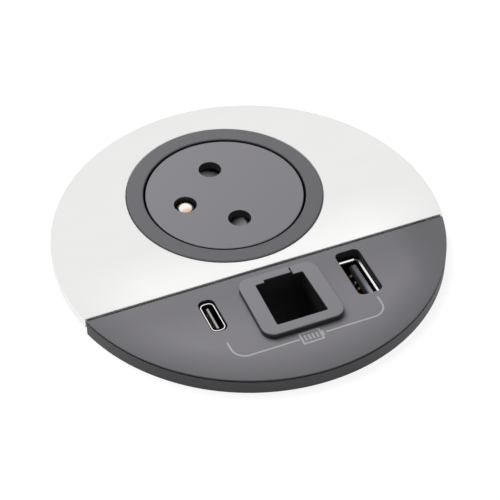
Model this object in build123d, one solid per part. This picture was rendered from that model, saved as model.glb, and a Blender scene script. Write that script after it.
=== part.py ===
from build123d import *

import os
from math import cos, pi, radians, sin, sqrt

# Desk hole and body. Z = 0 is the top of the desk, +Z points up and out of it,
# and the origin is the centre of the round hole. Millimetres throughout.
cutout_radius = 40.0
cutout_clearance = 0.5
flange_width = 7.5
body_depth = 45.0
collar_height = 5.0
thread_depth = 0.8
barrel_wall = 1.9
base_thickness = 3.0

# Flange, trim plate and front cover
deck_thickness = 2.0
deck_inset = 2.5
plate_thickness = 2.9
cover_drop = 0.5
seam_gap = 0.6
rim_wall = 2.2
rim_edge = 0.12
rim_lip = 0.25
rim_groove = (0.4, 0.35)
rim_relief = 0.3
edge_chamfer = 0.2
plate_web = 2.9
gasket_width = 2.4
gasket_thickness = 0.8
gasket_offset = 1.6

# Clearances
slip = 0.1
seat_gap = 0.15
free_gap = 0.3

# Mains socket
ring_radius = 24.05
ring_proud = 0.2
well_radius = 20.0
well_wall = 1.4
well_to_barrel = 0.35
face_gap = 0.58
face_sink = 0.28
face_thickness = 2.2
face_fillet = 0.25
skirt_wall = 1.4
skirt_depth = 6.5
face_travel = 15.0
face_stop_gap = 0.5
pin_pitch = 19.0
pin_radius = 2.4
pin_hole_gap = 0.43
earth_offset = 10.35
key_width = 2.6
key_height = 3.0
key_reach = 1.0
groove_depth = 0.7
key_angles = (45, 225)
lug_angles = (30, 150, 270)
lug_width = 5.0
lug_height = 2.4
lug_reach = 1.1

# Return spring under the face
face_wire_radius = 0.6
face_spring_gap = 0.8
face_spring_turns = 5.5

# Safety shutter under the face
shutter_floor = 1.0
lobe_cover = 0.81
hub_radius = 4.2
post_radius = 2.0
chamber_wall = 1.2
chamber_depth = 3.2
retainer_thickness = 1.4
retainer_boss_radius = 1.9
retainer_boss_spots = ((11.0, 20.0), (11.5, 225.0))
shutter_wire_radius = 0.18
shutter_spring_radius = 3.1
shutter_spring_turns = 1.25
shutter_spring_pitch = 0.78
shutter_leg = 3.0

# Contacts and the block that holds them
block_flange = 2.5
block_radius = 17.5
block_depth = 36.0
block_ear_radius = 2.1
contact_well_gap = 0.48
contact_floor = 1.2
contact_wall = 0.6
contact_grip_gap = 0.02
contact_drop = 2.5
contact_slit = 1.0
contact_slit_depth = 6.0
tail_width = 2.2
tail_thickness = 0.6
tail_length = 2.5
tail_clearance = 0.3
earth_below_face = 0.6
earth_tip_fillet = 1.6
earth_stud_radius = 1.5
earth_stud_length = 4.0
terminal_thickness = 0.8
terminal_radius = 3.2
terminal_length = 7.0
nut_height = 1.8
nut_across_flats = 5.5

# Ports
ports_inset = 10.0
usb_c_x = -18.35
usb_a_x = 18.85
port_lead = 0.8
usb_a_mouth = (6.3, 14.9)
usb_a_mouth_corner = 1.5
usb_a_shell = (5.7, 13.1)
usb_a_wall = 0.3
usb_a_recess = 2.4
usb_a_tongue = (1.84, 11.1)
usb_a_tongue_gap = 0.64
usb_a_tongue_recess = 1.0
usb_a_base_height = 3.7
usb_a_contact = (0.3, 1.0)
usb_a_contact_spots = (-3.5, -1.0, 1.0, 3.5)
usb_c_mouth = (4.1, 10.5)
usb_c_mouth_corner = 1.6
usb_c_shell = (3.4, 9.15)
usb_c_shell_corner = 1.3
usb_c_wall = 0.25
usb_c_recess = 0.5
usb_c_tongue = (0.7, 6.7)
usb_c_tongue_recess = 0.5
usb_c_tongue_chamfer = 0.15
usb_c_length = 10.2
usb_c_base_height = 3.8

# Module frame and the shaft behind it
module_inset = 12.95
module_x = 0.0
frame_length = 19.15
frame_rear_width = 19.8
frame_front_width = 20.6
frame_height = 1.6
frame_corner = 3.0
frame_fillet = 0.25
opening_length = 13.75
opening_rear_width = 12.15
opening_front_width = 12.85
opening_shift = -0.1
opening_corner = 0.4
opening_lip = 1.0
opening_undercut = 0.7
notch_width = 7.4
notch_depth = 0.8
slit_width = 0.35
slit_length = 1.5
collar_size = (15.8, 17.4)
collar_shift = 0.3
collar_depth = 5.0
hook_reach = 0.5
hook_width = 6.0
shaft_size = (17.0, 18.6)
shaft_wall = 1.2
rib_thickness = 1.4
rib_reach = 4.4

# Charger
board_level = 12.2
board_thickness = 1.6
board_margin = 0.8
board_rear_gap = 3.7
board_boss_radius = 2.2
transformer_size = (11.0, 12.0, 13.0)
transformer_spot = (-19.5, 2.7)
capacitor_radius = 4.0
capacitor_height = 12.0
capacitor_spots = ((15.5, 9.2), (24.0, 7.2))
inductor_radius = 3.5
inductor_height = 6.0
inductor_spot = (16.5, -5.2)

# Mains inlet in the base
inlet_size = (11.0, 22.0)
inlet_wall = 2.0
inlet_under_block = 2.2
inlet_roof = 4.0
inlet_lip = (1.2, 1.0)
inlet_x = 27.0
inlet_back = 10.05
inlet_pin_radius = 1.0
inlet_pin_pitch = 5.5
inlet_pin_recess = 5.5
inlet_tail = 2.5

# Screws
small_screw = (0.8, 1.6, 1.0)
board_screw = (1.0, 1.9, 1.3)
flange_screw = (1.25, 2.2, 1.6)
base_screw = (1.25, 2.4, 1.4)
pilot_gap = 0.05
base_boss_radius = 3.2
base_boss_height = 10.0
base_boss_angles = (45, 135, 222, 318)
plate_screw_offsets = ((25.5, 7.1), (31.5, -20.9))
cover_screw_offset = (28.0, 2.2)

# Clamp washer and locking ring
desk_thickness = 19.0
thread_clearance = 0.3
washer_thickness = 2.0
washer_inset = 1.5
washer_key_width = 4.0
washer_key_slot = 4.6
washer_slot_depth = 0.9
ring_height = 9.2
ring_wall = 4.8
grip_count = 24
grip_radius = 1.5

# Internal wires, from the inlet to the contacts
wire_radius = 0.8
wire_under_block = 1.6
earth_wire_under_block = 3.8
wire_bend = 2.0

# Levels that follow from the sizes above
deck_top = deck_thickness
plate_top = deck_top + plate_thickness
cover_top = plate_top - cover_drop
ring_top = plate_top + ring_proud
face_top = ring_top - face_sink
face_under = face_top - face_thickness
retainer_top = face_under - chamber_depth
ramp_rise = chamber_depth - free_gap - shutter_floor - seat_gap
retainer_bottom = retainer_top - retainer_thickness
well_depth = skirt_depth + face_travel + face_stop_gap
base_bottom = -body_depth
barrel_bottom = base_bottom + base_thickness
inlet_height = body_depth - well_depth - block_flange - board_screw[2] - inlet_under_block
washer_top = -desk_thickness
washer_bottom = washer_top - washer_thickness
lock_top = washer_bottom - free_gap

# Radii and places that follow from the sizes above
disc_radius = cutout_radius + flange_width
washer_radius = disc_radius - washer_inset
deck_radius = disc_radius - deck_inset
collar_radius = cutout_radius - cutout_clearance
ring_outer_radius = collar_radius + thread_clearance + ring_wall
barrel_radius = collar_radius - thread_depth
barrel_inner = barrel_radius - barrel_wall
well_outer = well_radius + well_wall
pin_hole_radius = pin_radius + pin_hole_gap
lobe_radius = pin_hole_radius + lobe_cover
contact_outer = pin_radius + contact_grip_gap + contact_wall
contact_well_radius = contact_outer + contact_well_gap
skirt_inner = well_radius - face_gap - skirt_wall
face_spring_radius = skirt_inner - face_spring_gap - face_wire_radius
chamber_radius = face_spring_radius - face_wire_radius - face_spring_gap - chamber_wall
socket_y = barrel_inner - well_outer - well_to_barrel
chord_y = socket_y - ring_radius - plate_web
cover_edge_y = chord_y - seam_gap
ports_y = chord_y - ports_inset
module_y = chord_y - module_inset
opening_y = module_y + opening_shift
collar_y = module_y + collar_shift
inlet_y = socket_y - inlet_back
pin_spots = ((0, socket_y + pin_pitch / 2), (0, socket_y - pin_pitch / 2))
earth_spot = (-earth_offset, socket_y)
ear_x = well_outer + well_to_barrel
ear_spots = ((-ear_x, socket_y), (ear_x, socket_y))
board_rear_y = chord_y + board_rear_gap
base_boss_ring = barrel_inner - base_boss_radius - slip - 0.3
plate_screw_spots = tuple(
    (side * x, socket_y + y) for x, y in plate_screw_offsets for side in (-1, 1)
)
cover_screw_spots = tuple(
    (side * cover_screw_offset[0], ports_y + cover_screw_offset[1]) for side in (-1, 1)
)
board_boss_spots = ((-30.5, chord_y - 1.3), (30.5, chord_y - 1.3), (8.0, chord_y + 0.9))


def disc(radius, bottom, top, spot=(0, 0)):
    """A round solid between two levels."""
    place = Pos(spot[0], spot[1], bottom)
    return place * Cylinder(radius, top - bottom, align=(Align.CENTER, Align.CENTER, Align.MIN))


def tube(outer, inner, bottom, top, spot=(0, 0)):
    """A round wall between two levels."""
    return disc(outer, bottom, top, spot) - disc(inner, bottom, top, spot)


def block(size, bottom, top, spot=(0, 0)):
    """A square-cornered solid, given by its size in X and Y."""
    place = Pos(spot[0], spot[1], bottom)
    return place * Box(size[0], size[1], top - bottom, align=(Align.CENTER, Align.CENTER, Align.MIN))


def rounded(size, corner, bottom, top, spot=(0, 0)):
    """A solid with rounded upright corners."""
    outline = Pos(spot[0], spot[1], bottom) * RectangleRounded(size[0], size[1], corner)
    return extrude(outline, top - bottom)


def front_of(y, bottom, top):
    """Everything in front of a line across the unit, to keep or to cut away."""
    reach = 2 * disc_radius
    return block((2 * reach, reach), bottom, top, (0, y - reach / 2))


def around(radius, angle, centre=(0, 0)):
    """A place on a circle, by its angle in degrees."""
    return (centre[0] + radius * cos(radians(angle)), centre[1] + radius * sin(radians(angle)))


def screw(sizes, head_bottom, length, spot):
    """A screw driven upwards: radius, head radius and head height, then its length."""
    shank_radius, head_radius, head_height = sizes
    head_top = head_bottom + head_height
    drive = disc(shank_radius * 0.8, head_bottom, head_bottom + head_height / 2, spot)
    return disc(head_radius, head_bottom, head_top, spot) - drive + disc(
        shank_radius, head_top, head_top + length, spot
    )


def group(solids):
    """Separate like solids that share one node."""
    return Compound(children=list(solids))


def unit(vector):
    """The vector at length one."""
    return vector * (1 / vector.length)


def biarc(start, start_way, end, end_way):
    """Two arcs that leave start and reach end along the given directions."""
    span = end - start
    ways = start_way + end_way
    closeness = 2 * (1 - start_way.dot(end_way))
    along = span.dot(ways)
    handle = (sqrt(along * along + closeness * span.dot(span)) - along) / closeness
    middle = (start + end + (start_way - end_way) * handle) * 0.5
    middle_way = unit((end - end_way * handle) - (start + start_way * handle))
    first = Edge.make_tangent_arc(start, start_way, middle)
    second = Edge.make_tangent_arc(middle, middle_way, end)
    return [first, second]


def coil(name, radius, wire, pitch, turns, bottom, spot, first_angle=0.0, leg=0.0):
    """One unbroken wire wound upwards, a quarter turn at a time, with straight legs if asked."""

    def point(turn):
        angle = 2 * pi * turn + radians(first_angle)
        return Vector(
            spot[0] + radius * cos(angle), spot[1] + radius * sin(angle), bottom + pitch * turn
        )

    def way(turn):
        angle = 2 * pi * turn + radians(first_angle)
        return unit(Vector(-radius * sin(angle), radius * cos(angle), pitch / (2 * pi)))

    quarters = round(turns * 4)
    edges = []
    for step in range(quarters):
        here, there = step / 4, (step + 1) / 4
        edges += biarc(point(here), way(here), point(there), way(there))
    if leg:
        edges.insert(0, Edge.make_line(point(0) - way(0) * leg, point(0)))
        edges.append(Edge.make_line(point(quarters / 4), point(quarters / 4) + way(quarters / 4) * leg))
    start_plane = Plane(origin=edges[0].position_at(0), z_dir=way(0))
    marks = [point(step / 24) for step in range(quarters * 6 + 1)]
    least = min(
        (marks[low] - marks[high]).length
        for low in range(len(marks))
        for high in range(low + 12, len(marks))
    )
    print(name, "least gap to itself", round(least - 2 * wire, 2), "mm")
    return sweep(start_plane * Circle(wire), path=Wire(edges))


def make_top_plate():
    plate = disc(disc_radius, deck_top, plate_top) - front_of(chord_y, deck_top, plate_top)
    plate -= disc(ring_radius + slip, deck_top, plate_top, (0, socket_y))
    plate = chamfer(plate.faces().sort_by(Axis.Z)[-1].edges(), edge_chamfer)
    thread_top = plate_top - edge_chamfer - 0.4
    for spot in plate_screw_spots:
        plate -= disc(flange_screw[0] + pilot_gap, deck_top, thread_top, spot)
    return plate


def make_port_cover():
    cover = chamfer(disc(disc_radius, 0, cover_top).faces().sort_by(Axis.Z)[-1].edges(), rim_edge)
    cover = chamfer(cover.faces().sort_by(Axis.Z)[0].edges(), rim_relief)
    groove_height, groove_reach = rim_groove
    groove_top = cover_top - rim_lip
    cover -= tube(disc_radius + slip, disc_radius - groove_reach, groove_top - groove_height, groove_top)
    cover -= disc(disc_radius - rim_wall, 0, deck_top + slip)
    cover &= front_of(cover_edge_y, 0, cover_top)
    mouth_bottom = deck_top
    cover -= rounded(usb_c_mouth, usb_c_mouth_corner, mouth_bottom, cover_top, (usb_c_x, ports_y))
    cover -= rounded(usb_a_mouth, usb_a_mouth_corner, mouth_bottom, cover_top, (usb_a_x, ports_y))
    hole = (collar_size[0] + 2 * seat_gap, collar_size[1] + 2 * seat_gap)
    cover -= block(hole, mouth_bottom, cover_top, (module_x, collar_y))
    for spot in cover_screw_spots:
        cover -= disc(flange_screw[0] + pilot_gap, mouth_bottom, cover_top - 0.6, spot)
    return cover


def make_deck_plate():
    """The flange that lies on the desk and closes the top of the barrel."""
    deck = disc(deck_radius, 0, deck_top)
    deck -= block(shaft_size, 0, deck_top, (module_x, collar_y))
    deck -= disc(well_outer + seat_gap, 0, deck_top, (0, socket_y))
    for spot in ear_spots:
        deck -= disc(block_ear_radius + seat_gap, 0, deck_top, spot)
    for spot in plate_screw_spots + cover_screw_spots:
        deck -= disc(flange_screw[0] + slip, 0, deck_top, spot)
    for size, x in ((usb_a_mouth, usb_a_x), (usb_c_mouth, usb_c_x)):
        opening = (size[0] + port_lead, size[1] + port_lead)
        deck -= rounded(opening, usb_a_mouth_corner, 0, deck_top, (x, ports_y))
    groove_inner = collar_radius + gasket_offset
    return deck - tube(groove_inner + gasket_width, groove_inner, 0, gasket_thickness)


def make_housing():
    cup = tube(collar_radius, barrel_inner, -collar_height, 0)
    cup += tube(barrel_radius, barrel_inner, barrel_bottom, -collar_height)
    for angle in base_boss_angles:
        spot = around(base_boss_ring, angle)
        boss = disc(base_boss_radius, barrel_bottom, barrel_bottom + base_boss_height, spot)
        wall_side = around(base_boss_ring + base_boss_radius, angle)
        boss += disc(base_boss_radius * 0.5, barrel_bottom, barrel_bottom + base_boss_height, wall_side)
        cup += boss & disc(barrel_radius - washer_slot_depth, barrel_bottom, 0)
        pilot_top = barrel_bottom + base_boss_height - 1.5
        cup -= disc(base_screw[0] + pilot_gap, barrel_bottom, pilot_top, spot)
    shaft_outer = (shaft_size[0] + 2 * shaft_wall, shaft_size[1] + 2 * shaft_wall)
    cup += block(shaft_outer, barrel_bottom, 0, (module_x, collar_y))
    for side in (-1, 1):
        rib_spot = (module_x + side * shaft_size[0] / 4, collar_y - shaft_outer[1] / 2)
        cup += rib((rib_thickness, rib_reach), barrel_bottom, rib_spot)
    for spot in board_boss_spots:
        cup += disc(board_boss_radius, -board_level, 0, spot) + board_boss_rib(spot)
        cup -= disc(board_screw[0] + pilot_gap, -board_level, -2.0, spot)
    cup -= block(shaft_size, barrel_bottom, 0, (module_x, collar_y))
    for side in (-1, 1):
        slot_x = side * barrel_radius
        cup -= block(
            (2 * washer_slot_depth, washer_key_slot), barrel_bottom, -collar_height, (slot_x, 0)
        )
    return cup


def rib(size, bottom, spot):
    """An upright rib inside the barrel, cut off where it has entered the barrel's wall."""
    return block(size, bottom, 0, spot) & disc(barrel_inner + slip, bottom, 0)


def board_boss_rib(spot):
    """The rib that ties a board boss to the barrel beside it, or to the module shaft in front."""
    x, y = spot
    if abs(x) < barrel_inner / 2:
        return rib((rib_thickness, rib_reach), -board_level, (x, y - board_boss_radius))
    side = 1 if x > 0 else -1
    return rib((rib_reach, rib_thickness), -board_level, (x + side * board_boss_radius, y))


def make_flange_gasket():
    inner = collar_radius + gasket_offset
    return tube(inner + gasket_width - slip, inner + slip, 0, gasket_thickness)


def make_bottom_cover():
    cover = disc(barrel_radius, base_bottom, barrel_bottom)
    cover = chamfer(cover.faces().sort_by(Axis.Z)[0].edges(), 0.6)
    cover -= block(shaft_size, base_bottom, barrel_bottom, (module_x, collar_y))
    hole = (inlet_size[0] + 2 * slip, inlet_size[1] + 2 * slip)
    cover -= rounded(hole, 1.0, base_bottom, barrel_bottom, (inlet_x, inlet_y))
    for angle in base_boss_angles:
        spot = around(base_boss_ring, angle)
        cover -= disc(base_screw[0] + slip, base_bottom, barrel_bottom, spot)
        cover -= disc(base_screw[1] + slip, base_bottom, base_bottom + base_screw[2] + slip, spot)
    return cover


def make_bottom_screws():
    screws = []
    for angle in base_boss_angles:
        spot = around(base_boss_ring, angle)
        screws.append(screw(base_screw, base_bottom + slip, 8.0, spot))
    return group(screws)


def make_socket_ring():
    centre = (0, socket_y)
    ring = disc(ring_radius, deck_top, ring_top, centre)
    ring = chamfer(ring.faces().sort_by(Axis.Z)[-1].edges(), edge_chamfer)
    ring += disc(well_outer, -well_depth, deck_top, centre)
    for spot in ear_spots:
        ring += disc(block_ear_radius, -well_depth, deck_top, spot)
    lug_top = -slip
    for angle in lug_angles:
        reach = well_outer + lug_reach / 2 - 0.6
        lug = block((lug_reach + 1.2, lug_width), lug_top - lug_height, lug_top)
        place = Pos(0, socket_y, 0) * Rot(0, 0, angle) * Pos(reach, 0, 0)
        ring += place * lug
    ring -= disc(well_radius, -well_depth, ring_top, centre)
    bore_edge = ring.faces().sort_by(Axis.Z)[-1].edges().sort_by(SortBy.RADIUS)[0]
    ring = chamfer(bore_edge, edge_chamfer)
    groove_top = -skirt_depth + key_height + free_gap
    for angle in key_angles:
        groove = block(
            (2 * groove_depth, key_width + 2 * free_gap), -well_depth, groove_top
        )
        place = Pos(0, socket_y, 0) * Rot(0, 0, angle) * Pos(well_radius, 0, 0)
        ring -= place * groove
    for spot in ear_spots:
        ring -= disc(board_screw[0] + pilot_gap, -well_depth, -well_depth + 8.0, spot)
    return ring


def make_socket_face():
    centre = (0, socket_y)
    radius = well_radius - face_gap
    skirt_bottom = -skirt_depth
    face = disc(radius, skirt_bottom, face_top, centre)
    face = fillet(face.faces().sort_by(Axis.Z)[-1].edges(), face_fillet)
    face -= disc(skirt_inner, skirt_bottom, face_under, centre)
    for distance, angle in retainer_boss_spots:
        spot = around(distance, angle, centre)
        face += disc(retainer_boss_radius, retainer_top, face_under, spot)
        face -= disc(small_screw[0] + pilot_gap, retainer_top, face_top - 0.9, spot)
    for spot in pin_spots + (earth_spot,):
        face -= disc(pin_hole_radius, face_under, face_top, spot)
    for angle in key_angles:
        key = block((2 * key_reach, key_width), skirt_bottom, skirt_bottom + key_height)
        place = Pos(0, socket_y, 0) * Rot(0, 0, angle) * Pos(radius, 0, 0)
        face += place * key & disc(well_radius + groove_depth - free_gap, skirt_bottom, 0, centre)
    return face


def make_face_spring():
    bottom = -well_depth + face_wire_radius + 0.02
    top = face_under - face_wire_radius - 0.02
    pitch = (top - bottom) / face_spring_turns
    return coil(
        "face_spring", face_spring_radius, face_wire_radius, pitch, face_spring_turns, bottom,
        (0, socket_y),
    )


def make_safety_shutter():
    centre = (0, socket_y)
    bottom = retainer_top + free_gap
    top = bottom + shutter_floor
    shutter = disc(hub_radius, bottom, top, centre)
    lobe_distance = pin_pitch / 2
    for angle in (90, 270):
        spot = around(lobe_distance, angle, centre)
        arm = block((1.5 * lobe_radius, lobe_distance), bottom, top, (0, (centre[1] + spot[1]) / 2))
        side = 1 if angle == 270 else -1
        ramp = Pos(0, spot[1] + lobe_radius, 0) * extrude(ramp_outline(side, top), 2 * lobe_radius)
        shutter += arm + disc(lobe_radius, bottom, top, spot)
        shutter += ramp & disc(lobe_radius - 0.1, bottom, top + ramp_rise, spot)
    shutter -= disc(post_radius + free_gap, bottom, top, centre)
    return shutter


def ramp_outline(side, level):
    """The sloping top of a shutter lobe, seen along the unit: a long rise and a short fall."""
    low = Vector(-side * lobe_radius, level)
    crest = Vector(side * 0.5 * lobe_radius, level + ramp_rise)
    back = Vector(side * lobe_radius, level)
    outline = make_face(Polyline(low, crest, back, close=True))
    return Plane.XZ * outline


def make_shutter_retainer():
    centre = (0, socket_y)
    cup = disc(chamber_radius + chamber_wall, retainer_bottom, face_under, centre)
    cup -= disc(chamber_radius, retainer_top, face_under, centre)
    cup += disc(post_radius, retainer_top, face_under - free_gap, centre)
    for spot in pin_spots + (earth_spot,):
        cup -= disc(pin_hole_radius, retainer_bottom, retainer_top, spot)
    for distance, angle in retainer_boss_spots:
        spot = around(distance, angle, centre)
        cup -= disc(small_screw[0] + slip, retainer_bottom, retainer_top, spot)
    return cup


def make_retainer_screws():
    screws = []
    for distance, angle in retainer_boss_spots:
        spot = around(distance, angle, (0, socket_y))
        head_bottom = retainer_bottom - small_screw[2]
        length = retainer_thickness + chamber_depth + 1.0
        screws.append(screw(small_screw, head_bottom, length, spot))
    return group(screws)


def make_shutter_spring():
    bottom = retainer_top + free_gap + shutter_floor + shutter_wire_radius + 0.2
    return coil(
        "shutter_spring", shutter_spring_radius, shutter_wire_radius, shutter_spring_pitch,
        shutter_spring_turns, bottom, (0, socket_y), first_angle=180.0, leg=shutter_leg,
    )


def make_contact_block():
    centre = (0, socket_y)
    flange_bottom = -well_depth - block_flange
    body = disc(well_outer, flange_bottom, -well_depth, centre)
    for spot in ear_spots:
        body += disc(block_ear_radius, flange_bottom, -well_depth, spot)
        body -= disc(board_screw[0] + slip, flange_bottom, -well_depth, spot)
    body += disc(block_radius, -block_depth, flange_bottom, centre)
    for spot in pin_spots:
        body -= disc(contact_well_radius, -block_depth + contact_floor, -well_depth, spot)
        tail_hole = (tail_width + 2 * tail_clearance, tail_thickness + 2 * tail_clearance)
        body -= block(tail_hole, -block_depth, -block_depth + contact_floor, spot)
    body -= disc(pin_radius + pilot_gap, -block_depth, -well_depth, earth_spot)
    return body


def make_block_screws():
    head_bottom = -well_depth - block_flange - board_screw[2]
    return group(screw(board_screw, head_bottom, 9.0, spot) for spot in ear_spots)


def make_contact(spot):
    """A round sleeve that grips a plug pin, slit from the top, with a tail through the block."""
    bottom = -block_depth + contact_floor
    top = -well_depth - contact_drop
    inner = pin_radius + contact_grip_gap
    sleeve = disc(contact_outer, bottom, top, spot)
    sleeve -= disc(inner, bottom + contact_wall, top, spot)
    slit = block((2 * contact_well_radius, contact_slit), top - contact_slit_depth, top, spot)
    sleeve -= slit
    sleeve += block((tail_width, tail_thickness), -block_depth - tail_length, bottom, spot)
    return sleeve


def make_earth_pin():
    tip = face_top - earth_below_face
    pin = disc(pin_radius, -block_depth, tip, earth_spot)
    pin = fillet(pin.faces().sort_by(Axis.Z)[-1].edges(), earth_tip_fillet)
    stud_bottom = -block_depth - earth_stud_length
    return pin + disc(earth_stud_radius, stud_bottom, -block_depth, earth_spot)


def make_earth_terminal():
    top = -block_depth
    bottom = top - terminal_thickness
    tongue_x = earth_spot[0] + terminal_length / 2
    ring = disc(terminal_radius, bottom, top, earth_spot)
    ring += block((terminal_length, 3.0), bottom, top, (tongue_x, socket_y))
    return ring - disc(earth_stud_radius + pilot_gap, bottom, top, earth_spot)


def make_earth_nut():
    top = -block_depth - terminal_thickness
    outline = Pos(earth_spot[0], earth_spot[1], top - nut_height) * RegularPolygon(
        nut_across_flats / 2, 6, major_radius=False
    )
    bore = disc(earth_stud_radius + pilot_gap, top - nut_height, top, earth_spot)
    return extrude(outline, nut_height) - bore


def frame_outline(length, rear_width, front_width, corner, spot, level):
    """A four-sided outline, a little wider at the front, with rounded corners."""
    rear = spot[1] + length / 2
    front = spot[1] - length / 2
    corners = (
        (spot[0] - rear_width / 2, rear),
        (spot[0] + rear_width / 2, rear),
        (spot[0] + front_width / 2, front),
        (spot[0] - front_width / 2, front),
    )
    outline = make_face(Polyline(*corners, close=True))
    return Pos(0, 0, level) * fillet(outline.vertices(), corner)


def make_module_frame():
    spot = (module_x, module_y)
    frame_top = cover_top + frame_height
    outline = frame_outline(
        frame_length, frame_rear_width, frame_front_width, frame_corner, spot, cover_top
    )
    frame = extrude(outline, frame_height)
    frame = fillet(frame.faces().sort_by(Axis.Z)[-1].edges(), frame_fillet)
    collar_bottom = cover_top - collar_depth
    frame += block(collar_size, collar_bottom, cover_top, (module_x, collar_y))
    for side in (-1, 1):
        hook_x = module_x + side * collar_size[0] / 2
        hook_top = deck_top
        frame += block((2 * hook_reach, hook_width), hook_top - 1.2, hook_top, (hook_x, collar_y))
    hole = frame_outline(
        opening_length, opening_rear_width, opening_front_width, opening_corner,
        (module_x, opening_y), collar_bottom,
    )
    frame -= extrude(hole, frame_top - collar_bottom)
    wider = 2 * opening_undercut
    hollow = frame_outline(
        opening_length + wider, opening_rear_width + wider, opening_front_width + wider,
        opening_corner, (module_x, opening_y), collar_bottom,
    )
    frame -= extrude(hollow, frame_top - opening_lip - collar_bottom)
    rear = opening_y + opening_length / 2
    notch = (notch_width, 2 * notch_depth)
    frame -= block(notch, collar_bottom, frame_top, (module_x, rear))
    slit_x = module_x + notch_width / 2 - slit_width / 2
    slit = (slit_width, 2 * slit_length)
    frame -= block(slit, cover_top, frame_top, (slit_x, rear + notch_depth))
    return frame


def make_usb_c_shell():
    spot = (usb_c_x, ports_y)
    top = cover_top - usb_c_recess
    bottom = top - usb_c_length
    inner = (usb_c_shell[0] - 2 * usb_c_wall, usb_c_shell[1] - 2 * usb_c_wall)
    shell = rounded(usb_c_shell, usb_c_shell_corner, bottom, top, spot)
    return shell - rounded(inner, usb_c_shell_corner - usb_c_wall, bottom, top, spot)


def make_usb_c_tongue():
    spot = (usb_c_x, ports_y)
    top = cover_top - usb_c_recess
    bottom = top - usb_c_length
    fit = usb_c_wall + pilot_gap
    base = (usb_c_shell[0] - 2 * fit, usb_c_shell[1] - 2 * fit)
    tongue = rounded(base, usb_c_shell_corner - fit, bottom, bottom + usb_c_base_height, spot)
    blade = block(usb_c_tongue, bottom, top - usb_c_tongue_recess, spot)
    long_edges = blade.faces().sort_by(Axis.Z)[-1].edges().sort_by(SortBy.LENGTH)[-2:]
    return tongue + chamfer(long_edges, usb_c_tongue_chamfer)


def make_usb_c_spacer():
    spot = (usb_c_x, ports_y)
    top = cover_top - usb_c_recess - usb_c_length
    return rounded((usb_c_shell[0] + 1.0, usb_c_shell[1] + 1.0), 0.6, -board_level, top, spot)


def make_usb_a_shell():
    spot = (usb_a_x, ports_y)
    top = cover_top - usb_a_recess
    inner = (usb_a_shell[0] - 2 * usb_a_wall, usb_a_shell[1] - 2 * usb_a_wall)
    shell = rounded(usb_a_shell, 0.6, -board_level, top, spot)
    return shell - rounded(inner, 0.6 - usb_a_wall, -board_level, top, spot)


def usb_a_tongue_left():
    """The side of the USB-A tongue that carries the contacts."""
    inner_right = usb_a_x + usb_a_shell[0] / 2 - usb_a_wall
    return inner_right - usb_a_tongue_gap - usb_a_tongue[0]


def make_usb_a_tongue():
    spot = (usb_a_x, ports_y)
    fit = usb_a_wall + pilot_gap
    base = (usb_a_shell[0] - 2 * fit, usb_a_shell[1] - 2 * fit)
    base_top = -board_level + usb_a_base_height
    tip = cover_top - usb_a_recess - usb_a_tongue_recess
    tongue = rounded(base, 0.3, -board_level, base_top, spot)
    left = usb_a_tongue_left()
    blade = block(usb_a_tongue, base_top, tip, (left + usb_a_tongue[0] / 2, ports_y))
    contact_side = blade.faces().sort_by(Axis.Z)[-1].edges().sort_by(Axis.X)[0]
    return tongue + chamfer(contact_side, 0.7)


def make_usb_a_contacts():
    base_top = -board_level + usb_a_base_height
    tip = cover_top - usb_a_recess - usb_a_tongue_recess - 1.2
    x = usb_a_tongue_left() - usb_a_contact[0] / 2
    strips = []
    for offset in usb_a_contact_spots:
        strips.append(block(usb_a_contact, base_top, tip, (x, ports_y + offset)))
    return group(strips)


def make_charger_board():
    top = -board_level
    bottom = top - board_thickness
    board = disc(barrel_inner - board_margin, bottom, top) & front_of(board_rear_y, bottom, top)
    cut = (shaft_size[0] + 2 * shaft_wall + 1.0, shaft_size[1] + 2 * shaft_wall + 0.5 + disc_radius)
    cut_y = collar_y + (shaft_size[1] / 2 + shaft_wall + 0.5) - cut[1] / 2
    board -= block(cut, bottom, top, (module_x, cut_y))
    for spot in board_boss_spots:
        board -= disc(board_screw[0] + slip, bottom, top, spot)
    return board


def make_board_screws():
    head_bottom = -board_level - board_thickness - board_screw[2]
    return group(screw(board_screw, head_bottom, 6.0, spot) for spot in board_boss_spots)


def make_charger_transformer():
    spot = (transformer_spot[0], ports_y + transformer_spot[1])
    top = -board_level - board_thickness
    height = transformer_size[2]
    core = block(transformer_size[:2], top - height, top, spot)
    window = (transformer_size[0], transformer_size[1] - 5.0)
    bobbin = block((window[0] + 2.4, window[1]), top - height + 2.0, top - 2.0, spot)
    return core + bobbin


def make_charger_capacitors():
    top = -board_level - board_thickness
    cans = []
    for x, offset in capacitor_spots:
        can = disc(capacitor_radius, top - capacitor_height, top, (x, ports_y + offset))
        cans.append(chamfer(can.faces().sort_by(Axis.Z)[0].edges(), 0.4))
    return group(cans)


def make_charger_inductor():
    spot = (inductor_spot[0], ports_y + inductor_spot[1])
    top = -board_level - board_thickness
    drum = disc(inductor_radius, top - 1.0, top, spot)
    drum += disc(inductor_radius - 0.8, top - inductor_height + 1.0, top - 1.0, spot)
    return drum + disc(inductor_radius, top - inductor_height, top - inductor_height + 1.0, spot)


def inlet_pin_spots():
    return tuple((inlet_x, inlet_y + step * inlet_pin_pitch) for step in (-1, 0, 1))


def make_inlet_shell():
    spot = (inlet_x, inlet_y)
    top = base_bottom + inlet_height
    shell = rounded(inlet_size, 0.9, base_bottom, top, spot)
    lip_reach, lip_height = inlet_lip
    lip = (inlet_size[0], inlet_size[1] + 2 * lip_reach)
    shell += block(lip, barrel_bottom, barrel_bottom + lip_height, (inlet_x - lip_reach, inlet_y))
    cavity = (inlet_size[0] - 2 * inlet_wall, inlet_size[1] - 2 * inlet_wall)
    shell -= rounded(cavity, 0.6, base_bottom, top - inlet_roof, spot)
    for pin_spot in inlet_pin_spots():
        shell -= disc(inlet_pin_radius + pilot_gap, top - inlet_roof, top, pin_spot)
    return shell


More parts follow.
